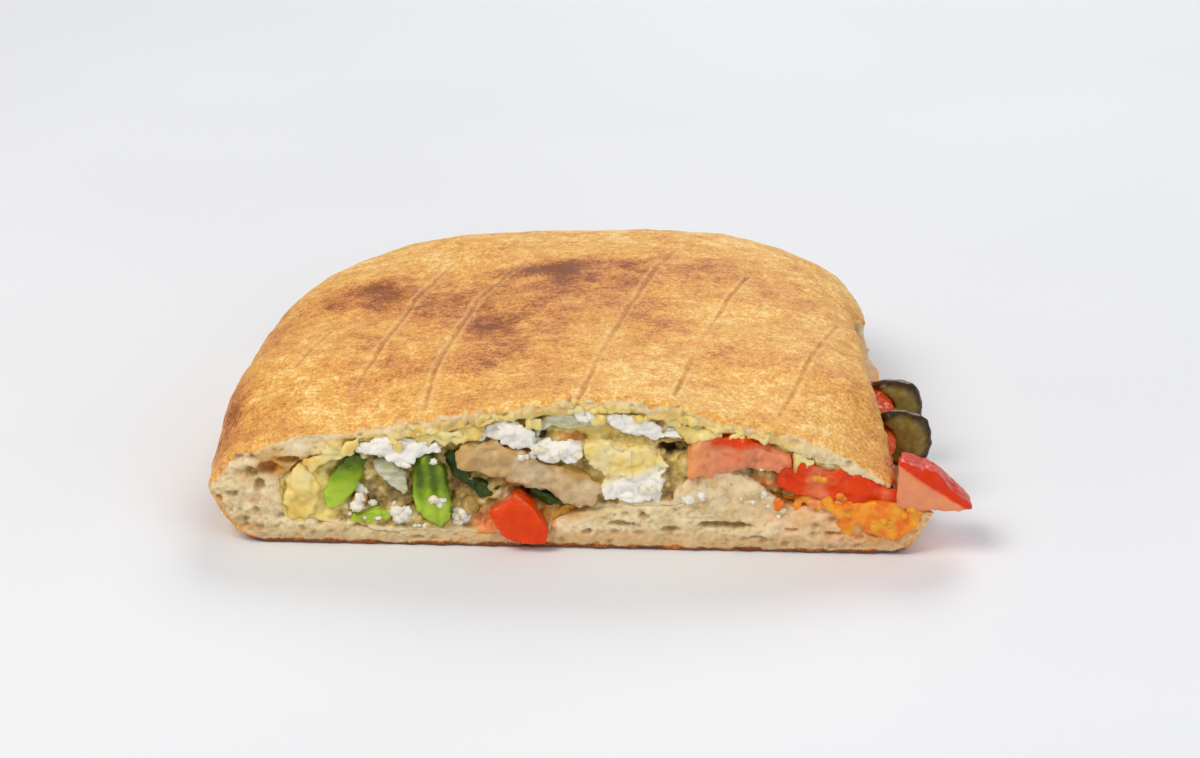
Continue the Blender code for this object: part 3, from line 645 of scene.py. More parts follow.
def build_bread(sizes, look):
    """The flatbread: scored and toasted crust outside, torn and bubbly crumb at the cut."""
    cad = node_mesh("bread")
    outside = crust_tree(cad)
    # The top bread's thin corner at the slit is thickened downwards, so that the mesh has no hole there.
    for vert in cad.vertices:
        x, _, z = vert.co / MM
        if x > 58 and 12.5 < z < 24 and vert.normal.z < -0.2:
            vert.co.z -= CORNER_EXTRA * MM
    mesh = remesh(cad, sizes.bread_voxel / MM, 2)
    # The bottom bread ends softly at the slit.
    work = bmesh.new()
    work.from_mesh(mesh)
    end = [v for v in work.verts if v.co.x > 62 * MM and v.co.y > -58 * MM and v.co.z < 15 * MM]
    axes = {"use_axis_x": True, "use_axis_y": True, "use_axis_z": True}
    for _ in range(SOFT_END_ROUNDS):
        bmesh.ops.smooth_vert(work, verts=end, factor=0.5, **axes)
    work.to_mesh(mesh)
    work.free()
    for reach in (2.4, 1.4):
        refine(mesh, points_of(mesh)[0][:, 1] < CUT_Y + reach)
    for reach in (2.6, 1.5):
        places = points_of(mesh)[0]
        refine(mesh, (score_distance(places) < reach) & (places[:, 2] > 12))
    places, facing = points_of(mesh)
    depth = np.array([outside.find_nearest(Vector(p) * MM)[3] or 0.0 for p in places]) / MM
    # The crusts' edges at the cut are uneven, and the bottom one shows as a brown line.
    base = (1 - rise(1.2, 2.6, places[:, 2])) * (1 - rise(CUT_Y + 3, CUT_Y + 5, places[:, 1]))
    edge = rise(12, 16, places[:, 2]) * (1 - rise(CUT_Y + 1.5, CUT_Y + 4, places[:, 1]))
    depth = np.maximum(depth - edge * 0.9 * ripple(places, 3.4, 27, 3), 0)
    depth = np.maximum(depth - base * (0.1 + 0.8 * ripple(places, 5, 7, 3)), 0)
    crust = 1 - rise(0.5, 1.1, depth)
    top = rise(0.0, 0.5, facing[:, 2])
    cut = 1 - rise(CUT_Y + 0.8, CUT_Y + 2.4, places[:, 1])

    # Toast: patches placed over an even gold, browner at the base; painted light pales the far rim.
    toast = np.full(len(places), 0.02)
    for x, y, wide, deep, strength in TOASTED:
        reach = ((places[:, 0] - x) / wide) ** 2 + ((places[:, 1] - y) / deep) ** 2
        toast = toast + strength * np.exp(-reach) * (1 - 0.45 * toast)
    toast = toast * (0.85 + 0.5 * ripple(places, 8, 3))
    # Painted light: the far rim's toast is lowered, so the crust there is painted paler.
    toast -= (0.02 + 0.25 * ripple(places, 9, 29)) * rise(34, 60, places[:, 1])
    toast += 0.85 * (1 - rise(0.2, 2.2, places[:, 2]))

    # Scored lines: a narrow groove with painted shade, between two low ridges with a painted highlight.
    line = score_distance(places) + 0.2 * ripple(places, 5, 8, 2)
    fade = np.clip(0.75 + 0.5 * ripple(places, 24, 9, 2), 0.3, 1)
    score = np.exp(-((line * MM / sizes.score_width) ** 2)) * top * crust * fade
    ridge = np.exp(-(((line - 0.9) / 0.4) ** 2)) * top * crust * fade

    swell = 0.55 * ripple(places, 20, 1) + 0.22 * ripple(places, 6, 2, 2)
    push = crust * swell * rise(0.4, 3.0, places[:, 2])
    push += sizes.score_depth / MM * (0.3 * ridge - score)
    # The bottom bread is torn where it ends at the slit.
    torn_end = rise(66, 70, places[:, 0]) * (1 - rise(11, 14, places[:, 2]))
    push *= 1 - torn_end

    # Cheese has melted into the inner half of the top bread's crumb, with a torn edge.
    over = rise(-53, -47, places[:, 0]) * (1 - rise(40, 56, places[:, 0])) * rise(14, 17, places[:, 2])
    melted = over * rise(1.2, 2.0, depth + 2.0 * ripple(places, 4.0, 15, 3)) * cut

    # Crumb at the cut: bubbles of three sizes and the larger hollows, sunk in from a torn, uneven face.
    near = np.where(places[:, 1] < CUT_Y + 3.5)[0]
    at = places[near]
    flat = at * np.array([1.0, 0.6, 1.35])
    within = rise(0.5, 1.3, depth[near]) * cut[near]
    bubbles = np.zeros(len(near))
    for size, deep, seed in ((3.4, 1.0, 4), (1.7, 0.5, 5), (0.9, 0.3, 6)):
        hole = 1 - rise(0.1, 0.45, cells(flat, size, seed))
        bubbles += deep * hole * rise(-0.3, 0.3, ripple(at, 6, seed))
    for x, z, wide, high, deep in CRUMB_HOLLOWS:
        reach = ((at[:, 0] - x) / wide) ** 2 + ((at[:, 2] - z) / high) ** 2
        bubbles += deep * (1 - rise(0.3, 1.3, reach + 0.5 * ripple(at, 1.6, 9, 2)))
    uneven = 0.55 * ripple(at, 7, 10) + 0.3 * ripple(at, 1.6, 11) + 0.12 * ripple(at, 0.7, 12)
    coarse = 1.3 * ripple(at, 3.2, 17) + 0.7 * (cells(at, 2.2, 18) - 0.5)
    uneven += (1 - rise(-66, -60, at[:, 0])) * coarse
    # The crust's edge at the cut is a little torn.
    torn = (1 - within) * cut[near] * (0.35 * ripple(at, 2.2, 13) + 0.15)
    places = places + facing * push[:, None]
    places[:, 0] += torn_end * (0.6 * ripple(places * [0, 1, 0.2], 7, 19, 2) - 0.2)
    lap = melted[near]
    places[near, 1] += within * (bubbles * sizes.pore_depth * (1 - 0.8 * lap) + uneven) + torn
    places[near, 1] -= lap * (0.5 + 1.6 * ripple(at, 2.6, 28, 2))
    pit = np.zeros(len(places))
    # Painted shade: the pores, the hollows, and the foot of the cut, which is painted as dark as a pore.
    foot = 0.35 * (1 - rise(2.5, 5.0, at[:, 2]))
    pit[near] = within * np.clip(bubbles / 2.1 + foot, 0, 0.8) * (1 - lap)

    values = {
        "depth": depth, "toast": toast, "score": score, "ridge": ridge, "pit": pit, "melted": melted,
    }
    for name, zones in STAINS.items():
        values[name] = zones_at(places, zones, 14)[0]
    store_points(mesh, places)
    for name, value in values.items():
        store_values(mesh, name, value)
    finish_piece("toasted_bread", mesh, toasted_flatbread(look), ["bread"])


def build_cheese_layer(look):
    """The melted layer, with a soft uneven lip at the cut, and the pool at its left end."""
    material = melted_cheese(look)
    mesh = remesh(node_mesh("melted_cheese_layer"), 1.0, 2)
    refine(mesh, points_of(mesh)[0][:, 1] < CUT_Y + 5)
    places, facing = points_of(mesh)
    lip = 1 - rise(CUT_Y + 0.5, CUT_Y + 5, places[:, 1])
    drip = ripple(places * [1, 0.1, 0.0], 4.2, 21, 3)
    places[:, 2] -= lip * (0.5 + 1.7 * np.clip(drip, -0.3, 1)) * rise(0.0, 0.6, -facing[:, 2])
    places[:, 2] += lip * (0.7 + 0.9 * ripple(places, 5.0, 26, 3)) * rise(0.0, 0.6, facing[:, 2])
    places[:, 1] += lip * (-0.9 + 1.1 * ripple(places, 3.4, 22, 3))
    places += facing * (0.25 * ripple(places, 2.2, 23, 2))[:, None]
    store_points(mesh, places)
    store_values(mesh, "golden", zones_at(places, PACKED["golden"], 34)[0] * lip)
    finish_piece("melted_cheese_under_top", mesh, material, ["melted_cheese_layer"])
    dress("melted_cheese_pool", "melted_cheese_run", material, 1.3, 0.05, 24, rounds=14)


def pocket_span(tree, x):
    """The pocket's floor and ceiling at the cut, in millimetres, or None where there is no pocket.
    At the slit, where no top bread is left over it, the filling is packed 3.4 mm high."""
    found, z = [], -5.0
    while len(found) < 4:
        spot = tree.ray_cast(Vector((x, CUT_Y + 1.0, z)) * MM, Vector((0, 0, 1)))[0]
        if spot is None:
            break
        z = spot.z / MM + 0.02
        found.append(spot.z / MM)
    if len(found) == 4:
        return found[1], found[2]
    return (found[1], found[1] + 3.4) if len(found) == 2 and x > 60 else None


def build_packed_front(material):
    """The crushed cheese and juice packed between the larger pieces at the cut, as one closed sheet."""
    cad = node_mesh("bread")
    tree = BVHTree.FromPolygons([v.co for v in cad.vertices], [tuple(f.vertices) for f in cad.polygons])
    spans = {x: pocket_span(tree, x) for x in np.arange(-64.0, 75.0, 0.5)}
    known = [x for x, span in spans.items() if span]
    columns = np.arange(known[0] - 1.0, known[-1] + 1.2, PACKED_STEP)
    low = np.interp(columns, known, [spans[x][0] for x in known])
    high = np.interp(columns, known, [spans[x][1] for x in known])
    # Past the top bread's corner the packing thins out.
    high = np.minimum(high, low + np.interp(columns, [60, 67], [30, 4]))
    narrow = 1 - rise(0.5, 2.0, columns - known[0] + 1.0) * (1 - rise(-1.0, 1.0, columns - known[-1]))
    grids = np.meshgrid(columns, np.linspace(0, 1, PACKED_ROWS), indexing="ij")
    x, t = (grid.ravel() for grid in grids)
    height = np.interp(x, columns, high - low)
    past = np.interp(x, [48, 60], [1.4, 0.2])
    wall = np.minimum(t, 1 - t) * (height + 2 * past) - past
    z = np.maximum(np.interp(x, columns, low) - past + t * (height + 2 * past), 0.9)
    places = np.column_stack([x, np.full(len(x), CUT_Y), z])
    edge = np.maximum(1 - rise(-1.2, -0.3, wall), np.interp(x, columns, narrow))
    covers = {kind: zones_at(places, zones, 34) for kind, zones in PACKED.items()}
    lumps, grains = 1 - cells(places, 3.3, 31), 1 - cells(places, 1.3, 32)
    calm = 1 - 0.7 * np.maximum(covers["melted"][0], covers["crumb"][0])
    relief = calm * (1.5 * (lumps - 0.5) + 0.3 * (grains - 0.5) + ripple(places, 1.8, 36, 3))
    relief += 0.6 * ripple(places, 7, 33)
    back = sum(push for cover, push in covers.values())
    skirt = 0.8 * (1 - rise(-0.2, 1.6, wall)) * (1 - rise(0.5, 1.0, t))
    covers["crumb"] = (np.maximum(covers["crumb"][0], skirt), None)
    forward = (1 - rise(0.0, 2.2, wall)) * (1 - rise(0.2, 0.6, back))
    places[:, 1] += 1.9 + 0.4 * np.sin(x * 0.21) + back - relief * (1 - 0.5 * forward)
    places[:, 1] += 3.2 * edge - 1.2 * forward
    work = bmesh.new()
    front = [work.verts.new(p * MM) for p in places]
    for i in range(len(columns) - 1):
        for a in range(i * PACKED_ROWS, (i + 1) * PACKED_ROWS - 1):
            b = a + PACKED_ROWS
            work.faces.new((front[a], front[b], front[b + 1], front[a + 1]))
    rim = [e for e in work.edges if e.is_boundary]
    for vert in bmesh.ops.extrude_edge_only(work, edges=rim)["geom"]:
        if isinstance(vert, bmesh.types.BMVert):
            vert.co.y = (CUT_Y + PACKED_DEPTH) * MM
    bmesh.ops.contextual_create(work, geom=[e for e in work.edges if e.is_boundary])
    bmesh.ops.recalc_face_normals(work, faces=work.faces)
    mesh = as_mesh(work, "packed_front")
    rest = len(mesh.vertices) - len(places)
    store_values(mesh, "lump", np.append(0.55 * lumps + 0.35 * grains, np.zeros(rest)))
    for kind, (cover, _) in covers.items():
        store_values(mesh, kind, np.append(cover, np.zeros(rest)))
    finish_piece("packed_filling_at_cut", mesh, material, [])


def build_filling(look):
    """The crushed filling: smooth inside, lumpy where the slit shows it, and its front at the cut."""
    material = crushed_filling(look)
    mesh = remesh(node_mesh("soft_filling"), 1.2, 1)
    refine(mesh, points_of(mesh)[0][:, 0] > 55)
    places, facing = points_of(mesh)
    shown = rise(50, 56, places[:, 0])
    near = np.where(shown > 0)[0]
    at = places[near]
    lumps, grains = 1 - cells(at, 3.4, 31), 1 - cells(at, 1.5, 32)
    push = 1.8 * (lumps - 0.5) + 0.8 * (grains - 0.5)
    places[near] += facing[near] * (push * shown[near])[:, None]
    lump = np.full(len(places), 0.5)
    lump[near] = 0.6 * lumps + 0.35 * grains
    store_points(mesh, places)
    store_values(mesh, "lump", lump)
    store_values(mesh, "orange", 0.5 * rise(0.0, 0.4, ripple(places, 9, 35, 2)))
    finish_piece("crushed_filling", mesh, material, ["soft_filling"])
    build_packed_front(material)
    soaked = dress("soaked_crumb", "soaked_crumb", material, 1.0, 0.3, 37, rounds=6)
    places = points_of(soaked.data)[0]
    store_values(soaked.data, "crumb", np.ones(len(places)))
    store_values(soaked.data, "lump", np.full(len(places), 0.5))
    store_values(soaked.data, "golden", 0.15 + 0.25 * rise(-0.1, 0.4, ripple(places, 5, 38)))


def with_chunks(node, alone):
    """A CAD node's mesh joined with the blocks of its outlines on the cut, or those blocks alone."""
    work = bmesh.new()
    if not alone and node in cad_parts:
        work.from_mesh(node_mesh(node))
    for front, back, outline in CHUNKS.get(node, []):
        middle = sum((Vector(point) for point in outline), Vector((0, 0))) / len(outline)
        rings = []
        for y, size in ((front, 1.0), (back, 0.86)):
            ring = [middle + (Vector(point) - middle) * size for point in outline]
            rings.append([work.verts.new(Vector((x, CUT_Y + y, z)) * MM) for x, z in ring])
        made = [work.faces.new(rings[0]), work.faces.new(rings[1])]
        for i in range(len(outline)):
            j = (i + 1) % len(outline)
            made.append(work.faces.new((rings[0][i], rings[0][j], rings[1][j], rings[1][i])))
        bmesh.ops.recalc_face_normals(work, faces=made)
    return as_mesh(work, node)


def dress(
    node, name, material, warp, fine, seed, tint=None, voxel=0.42, rounds=3, curds=0.0, alone=False
):
    """Shows a CAD piece in fine mesh, its outline bent by warp and its skin by fine, in millimetres.
    tint gives the stored value from the points, and curds breaks the skin into crumbs of that height."""
    mesh = remesh(with_chunks(node, alone), voxel, rounds)
    places, facing = points_of(mesh)
    if tint:
        store_values(mesh, "tint", tint(places))
    push = warp * ripple(places, 5, seed, 3) + fine * ripple(places, 1.4, seed + 1, 3)
    if curds:
        push += 1.3 * curds * (0.5 - cells(places, 3.4, seed))
        push += 0.45 * curds * (0.5 - cells(places, 1.3, seed + 2))
        push -= 0.5 * curds * (1 - rise(0.02, 0.14, cracks(places, 3.6, seed + 3)))
    store_points(mesh, places + facing * push[:, None])
    return finish_piece(name, mesh, material, [node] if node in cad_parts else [])


def build_chicken(look):
    """The slice of chicken. A tint of 1 is seared meat, along its edges and at its left end."""

    def seared(p):
        across = p[:, 2] + 0.42 * p[:, 0]
        below_top = 1 - rise(16.0, 19.0, across + 2.0 * ripple(p, 4, 45))
        edges = 1 - rise(9.0, 12.5, across + 1.5 * ripple(p, 4, 43)) * below_top
        left = 1 - rise(-12.0, -8.0, p[:, 0] + 2.0 * ripple(p, 3, 46))
        return np.maximum(0.8 * edges, 0.5 * left) + 0.2 * rise(0.1, 0.6, ripple(p, 6, 44))

    material = cooked_chicken(look)
    dress("chicken_fillet", "chicken_slice", material, 1.3, 0.22, 41, seared, 0.5, 9)


def build_peppers(look):
    """The four pieces of green pepper. A tint of 0 is light flesh and 1 is the dark skin."""
    material = green_pepper(look)
    tints = {
        "pepper_light": lambda p: -0.05 + 0.85 * rise(9, 20, p[:, 2]),
        "pepper_rib": lambda p: (
            0.1 + 0.55 * rise(8, 15, p[:, 2]) + 0.15 * np.sin(p[:, 0] * 2.2 + p[:, 2] * 0.2)
        ),
        "pepper_dark": lambda p: np.full(len(p), 0.95),
        "pepper_end": lambda p: 0.05 + 0.2 * rise(5, 8, p[:, 2]),
    }
    for seed, (node, tint) in enumerate(tints.items()):
        dress(node, f"green_{node}", material, 0.8, 0.2, 50 + 3 * seed, tint)


def build_onion(look):
    """The two pieces of onion."""
    material = cooked_onion(look)
    for seed, node in enumerate(("onion_petal", "onion_slice")):
        dress(node, f"cooked_{node}", material, 0.9, 0.15, 65 + 3 * seed)


def build_white_cheese(look):
    """White cheese in its four larger pieces. A tint of 1 is yellow with melted cheese."""
    material = white_cheese(look)
    tints = {
        "white_cheese_strip": lambda p: np.full(len(p), -0.4),
        "white_cheese_lump": lambda p: np.full(len(p), -0.3),
        "white_cheese_block": lambda p: 0.85 * rise(14.5, 18.0, p[:, 2] + 0.4 * (14 - p[:, 0])) - 0.1,
        "white_cheese_slab": lambda p: np.full(len(p), -0.35),
    }
    for seed, (node, tint) in enumerate(tints.items()):
        name, alone = node.replace("white_cheese", "crumbled_cheese"), node == "white_cheese_block"
        dress(node, name, material, 0.7, 0.2, 70 + 5 * seed, tint, 0.4, 2, 0.8, alone)


def build_tomato(look):
    """The four pieces of tomato. A tint of 0 is the skin and 1 the pale core."""
    material = ripe_tomato(look)
    tints = {
        "tomato_dice": lambda p: 0.22 + 0.2 * rise(5, 12, p[:, 2]),
        # The slice is paler at its left end and darker along its top right, towards the skin colour.
        "tomato_slice": lambda p: (
            0.1 * ripple(p, 2.5, 98) + 0.75 + 0.3 * (1 - rise(27, 33, p[:, 0]))
            - 0.5 * rise(22.5, 25.0, p[:, 2]) * rise(28, 32, p[:, 0])
        ),
        "tomato_flesh": lambda p: (
            0.22 + 0.35 * np.exp(-(((p[:, 0] - 53) / 3) ** 2)) + 0.2 * rise(64, 67, p[:, 0])
        ),
        "tomato_wedge": lambda p: (
            0.8 - 0.9 * rise(65.6, 66.8, p[:, 2] + 0.66 * p[:, 0]) - 0.5 * (p[:, 1] > CUT_Y + 1)
        ),
    }
    bends = {
        "tomato_dice": (0.3, 0.12), "tomato_slice": (1.5, 0.35), "tomato_flesh": (1.0, 0.12),
        "tomato_wedge": (0.4, 0.03),
    }
    for seed, (node, tint) in enumerate(tints.items()):
        warp, fine = bends[node]
        dress(
            node, f"ripe_{node}", material, warp, fine, 90 + 3 * seed, tint, rounds=4,
            alone=node == "tomato_dice",
        )


def build_pickles(look):
    """The two pickle slices. A tint of 1 is the skin at a slice's rim."""
    material = pickled_cucumber(look)
    for seed, node in enumerate(("pickle_slice_near", "pickle_slice_far")):
        low, high = (np.array(corner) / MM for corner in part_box(node))
        middle, half = (low + high) / 2, (high - low) / 2

        def rim(p):
            out = (p - middle) / half
            return rise(0.72, 0.95, np.hypot(out[:, 0], out[:, 2]))

        dress(node, f"olive_{node}", material, 0.4, 0.07, 105 + 3 * seed, rim)


def shown_tree():
    """All shown pieces together, to lay crumbs and seeds on them."""
    points, faces = [], []
    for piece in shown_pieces():
        base = len(points)
        points += [vert.co.copy() for vert in piece.data.vertices]
        faces += [tuple(base + i for i in face.vertices) for face in piece.data.polygons]
    return BVHTree.FromPolygons(points, faces)


# Where crumbs, seeds and pulp lie on the cut: x from, to, z from, to, how many, radius from, to.
CHEESE_CRUMBS = [
    (-44, -41, 8, 12, 5, 0.9, 1.5), (-46, -34, 3, 9, 5, 0.35, 0.8),
    (-35.5, -32, 4.5, 8, 5, 0.8, 1.4), (-27, -23, 9, 11.5, 3, 0.6, 1),
    (-31, -26, 4, 9, 3, 0.35, 0.6), (-22.5, -19, 4, 9, 5, 0.8, 1.5), (-6, 5, 20, 24, 6, 0.6, 1.2),
    (-9, -5, 19.5, 22, 4, 0.5, 1), (17, 22, 11, 15, 5, 0.6, 1.2), (-42, -26, 18, 20, 4, 0.4, 0.9),
    (26, 29, 11, 13.5, 2, 1, 1.4), (-73, -62, 3, 17, 5, 0.25, 0.5), (24, 60, 8, 20, 6, 0.25, 0.5),
    (39, 44, 11, 15, 3, 0.5, 0.9),
]
BEADS = [
    (-50, -44, 20.2, 21.6, 6, 0.6, 1.3), (-43, -31, 22, 24.2, 9, 0.5, 1.2),
    (-30, -20, 24.6, 26.4, 8, 0.5, 1.3), (-16, -4, 27.6, 29.4, 8, 0.5, 1.2),
    (-2, 14, 30, 31.2, 8, 0.5, 1.1), (16, 30, 27.6, 29.6, 9, 0.6, 1.4),
    (31, 44, 25, 27, 8, 0.5, 1.2),
]
PULP = [(58, 73, 5, 11, 22, 1, 2.2), (44, 56, 9.5, 12.5, 8, 0.8, 1.6)]
SEEDS = [
    (51.5, 54.5, 14.5, 16.5, 3, 0.9, 1.3), (58, 74, 4, 11, 9, 0.7, 1), (52, 60, 10, 13, 3, 0.7, 0.9),
]


def scatter(name, areas, seed, flat, rough, material, soften=0.0, sheet=None):
    """Lays small lumps on the cut face in one mesh. soften melts them, and the named sheet of
    CHUNKS under them, together in steps of that size."""
    rng = np.random.default_rng(seed)
    tree = shown_tree()
    work = bmesh.new()
    if sheet:
        work.from_mesh(with_chunks(sheet, False))
    for x0, x1, z0, z1, count, small, large in areas:
        for _ in range(count):
            x, z, radius = rng.uniform(x0, x1), rng.uniform(z0, z1), rng.uniform(small, large)
            stretch = Vector((rng.uniform(0.75, 1.35), flat, rng.uniform(0.75, 1.2)))
            turn = Euler(rng.uniform(-0.7, 0.7, 3)).to_matrix()
            spot = tree.ray_cast(Vector((x, CUT_Y - 20, z)) * MM, Vector((0, 1, 0)))[0]
            # A lump that would fall deep into the pocket is left out.
            if spot is None or spot.y / MM > CUT_Y + 7:
                continue
            fineness = 3 if radius > 0.5 else 2
            for vert in bmesh.ops.create_icosphere(work, subdivisions=fineness, radius=1.0)["verts"]:
                way = vert.co.copy()
                bump = noise.voronoi(way * 1.5 + Vector((x, z, seed)))[0][0]
                bump += 0.5 * noise.noise(way * 3.1 + Vector((z, x, seed)))
                point = turn @ (way * (1.0 + rough * (0.5 - bump)))
                vert.co = spot + Vector([p * s for p, s in zip(point, stretch)]) * radius * MM
    mesh = as_mesh(work, name)
    if soften:
        mesh = remesh(mesh, soften, 9)
        places, facing = points_of(mesh)
        push = 0.5 * ripple(places, 4, seed, 3) + 0.15 * ripple(places, 1.5, seed, 2)
        store_points(mesh, places + facing * push[:, None])
    finish_piece(name, mesh, material, [])


def build_crumbs(look):
    """White crumbs, melted beads, tomato pulp and seeds, on whatever the cut shows there."""
    scatter("tomato_pulp_lumps", PULP, 11, 0.5, 0.4, tomato_pulp(look), 0.42, "tomato_pulp")
    seeds = tomato_pulp(look)
    seeds.name = "Tomato seeds"
    scatter("tomato_seeds", SEEDS, 12, 0.5, 0.2, seeds)
    scatter("melted_cheese_beads", BEADS, 14, 0.5, 0.5, melted_cheese(look), 0.42)
    crumbs = white_cheese(look)
    crumbs.name = "White cheese crumbs"
    scatter("white_cheese_crumbs", CHEESE_CRUMBS, 13, 0.7, 0.75, crumbs)


# The floor's profile as y, z in metres: flat under the part, then curving up behind it.
FLOOR_PROFILE = [
    (-1.6, 0.0), (0.5, 0.0), (0.9, 0.0), (1.3, 0.0), (1.7, 0.04), (2.1, 0.2), (2.3, 0.6), (2.35, 2.2),
]
FLOOR_HALF_WIDTH = 2.5
# The floor lies this far under the part, so that the two faces don't share a plane.
FLOOR_GAP = 0.0002
# Lights: name, place, aim, diameter, all in metres, and colour.
LIGHTS = [
    ("key", (-0.55, -0.55, 0.95), (0, -0.02, 0.0), 0.7, "#fff4e6"),
    ("fill", (0.75, -0.85, 0.45), (0, -0.05, 0.02), 0.9, "#f2f6ff"),
    ("back", (0.25, 1.0, 0.85), (0, 0, 0.02), 0.8, "#fffaf2"),
]
CAMERA_PLACE = (0.046, -0.8165, 0.324)
CAMERA_DEGREES = (69.1, 0.0, 2.9)


def build_stage(stage):
    """A plain pale floor that curves up behind, soft studio light and the camera."""
    work = bmesh.new()
    sides = (-FLOOR_HALF_WIDTH, FLOOR_HALF_WIDTH)
    left, right = ([work.verts.new((x, y, z)) for y, z in FLOOR_PROFILE] for x in sides)
    for i in range(len(FLOOR_PROFILE) - 1):
        work.faces.new((left[i], right[i], right[i + 1], left[i + 1]))
    mesh = as_mesh(work, "floor")
    floor = add_object("floor", mesh)
    floor.location.z = CAD_BOX[0][2] - FLOOR_GAP
    bend = floor.modifiers.new("Curve", "SUBSURF")
    bend.levels = bend.render_levels = 3
    mesh.shade_smooth()
    material, tree, read = start_material(
        "Matt white board", {"cloud": (220, 2, 0.5)}, Roughness=0.7, IOR=1.45
    )
    stops = [(0.3, stage.floor), (0.7, stage.floor_light)]
    mesh.materials.append(finish_material(material, painted(tree, read, stops, {"cloud": 1.0})))
    floor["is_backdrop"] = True

    world = bpy.data.worlds.new("Studio")
    bpy.context.scene.world = world
    world.use_nodes = True
    background = world.node_tree.nodes["Background"]
    background.inputs["Color"].default_value = stage.sky
    background.inputs["Strength"].default_value = stage.sky_strength
    for name, place, aim, size, colour in LIGHTS:
        data = bpy.data.lights.new(name, "AREA")
        data.shape = "DISK"
        data.size = size
        data.energy = getattr(stage, name + "_power")
        data.color = linear(colour)[:3]
        lamp = add_object(name, data)
        lamp.location = place
        lamp.rotation_euler = (Vector(aim) - Vector(place)).to_track_quat("-Z", "Y").to_euler()

    data = bpy.data.cameras.new("camera")
    data.sensor_width = 36
    data.lens = stage.lens
    camera = add_object("camera", data)
    camera.location = CAMERA_PLACE
    camera.rotation_euler = [math.radians(angle) for angle in CAMERA_DEGREES]
    bpy.context.scene.camera = camera
    bpy.context.scene.view_settings.view_transform = "Standard"


# Properties, operators and panel

LENGTH = {"unit": "LENGTH", "precision": 5}
FACTOR = {"subtype": "FACTOR", "soft_max": 2.0}


def measure(name, default, description, **kind):
    """A size, power or factor, with its unit or subtype."""
    return bpy.props.FloatProperty(
        name=name, default=default, min=0.0, description=description, **kind
    )


def paint(name, default, description):
    """A colour, given as hex sRGB and held as linear RGBA."""
    return bpy.props.FloatVectorProperty(
        name=name, default=linear(default), description=description, size=4, min=0.0, max=1.0,
        subtype="COLOR",
    )


class SandwichSizes(bpy.types.PropertyGroup):
    """Sizes of the bread's mesh and relief"""

    bread_voxel: measure("Bread mesh", 1.35 * MM, "Size of the bread's mesh faces", **LENGTH)
    score_width: measure("Score width", 0.34 * MM, "Half width of the scored grooves", **LENGTH)
    score_depth: measure("Score depth", 0.42 * MM, "Depth of the scored grooves", **LENGTH)
    pore_depth: measure("Crumb pores", 1.0, "Depth of the bubbles in the cut crumb", **FACTOR)


class SandwichColours(bpy.types.PropertyGroup):
    """Colours of the bread and of each food in it"""

    crust: paint("Crust", "#f2ba5c", "Golden crust")
    # Also the painted highlight on the score ridges and the painted light at the far rim.
    crust_light: paint("Light crust", "#fce09c", "Palest crust")
    # Also the toasted spots on the crumb and the painted shade along its base.
    crust_deep: paint("Deep crust", "#dc984e", "Deeper golden crust")
    # Also the painted shade in the scored grooves.
    toast: paint("Toast", "#ba7138", "Toasted crust")
    scorch: paint("Scorched", "#854a22", "Darkest toasted spots")
    crumb: paint("Crumb", "#ead4a6", "Cut crumb")
    crumb_light: paint("Light crumb", "#f3e6c0", "Palest crumb")
    crumb_deep: paint("Deep crumb", "#d8bc84", "Deeper crumb")
    # Painted shade, laid in the crumb's pores and at the foot of the cut.
    crumb_shadow: paint("Crumb pores", "#a98850", "Crumb deep in its pores")
    stain: paint("Juice stain", "#ee9250", "Crumb and filling soaked with tomato")
    golden: paint("Oily crumb", "#c88e2c", "Oily golden crumb in the hollows")
    # Painted shade, laid in the deep gaps of the filling at the cut.
    gap: paint("Deep gap", "#4a2f14", "Filling in the dark gaps")
    melted: paint("Melted cheese", "#f2d980", "Melted cheese")
    melted_pale: paint("Pale melted cheese", "#f6e8a8", "Palest melted cheese")
    melted_deep: paint("Deep melted cheese", "#d6b04e", "Deepest melted cheese")
    white: paint("White cheese", "#f8f5ea", "White cheese")
    juice: paint("Juice", "#bc9e50", "Filling wet with juice")
    juice_pale: paint("Pale juice", "#dfcb8e", "Filling where the juice is thin")
    juice_shadow: paint("Deep juice", "#7c5c24", "Filling in its gaps")
    meat: paint("Chicken", "#d2b88c", "Cooked chicken")
    meat_pale: paint("Pale chicken", "#dcc8a4", "Palest chicken fibres")
    meat_deep: paint("Deep chicken", "#c0a376", "Deepest chicken fibres")
    meat_seared: paint("Seared chicken", "#be9448", "Browned edge")
    pepper: paint("Green pepper", "#86a416", "Pepper flesh")
    pepper_light: paint("Light pepper", "#b0cc3c", "Lightest flesh")
    pepper_dark: paint("Dark pepper", "#566e0c", "Flesh next to the skin")
    pepper_skin: paint("Pepper skin", "#263e08", "Pepper skin")
    onion: paint("Onion", "#e0e0c4", "Cooked onion")
    onion_deep: paint("Deep onion", "#bdb98a", "Onion between its layers")
    tomato: paint("Tomato", "#e64600", "Tomato flesh")
    tomato_skin: paint("Tomato skin", "#d83400", "Tomato skin")
    tomato_pale: paint("Pale tomato", "#e29066", "Pale tomato flesh")
    tomato_core: paint("Tomato core", "#ec9e62", "Palest core")
    pulp: paint("Pulp", "#f39020", "Tomato jelly")
    pulp_red: paint("Red pulp", "#ea7422", "Redder jelly")
    pulp_yellow: paint("Yellow pulp", "#f4a62e", "Seeds and yellow jelly")
    pickle: paint("Pickle", "#6a5218", "Pickle flesh")
    pickle_light: paint("Light pickle", "#8c7a38", "Flesh in the slice's middle")
    pickle_deep: paint("Pickle skin", "#3a2a0c", "Pickle skin")


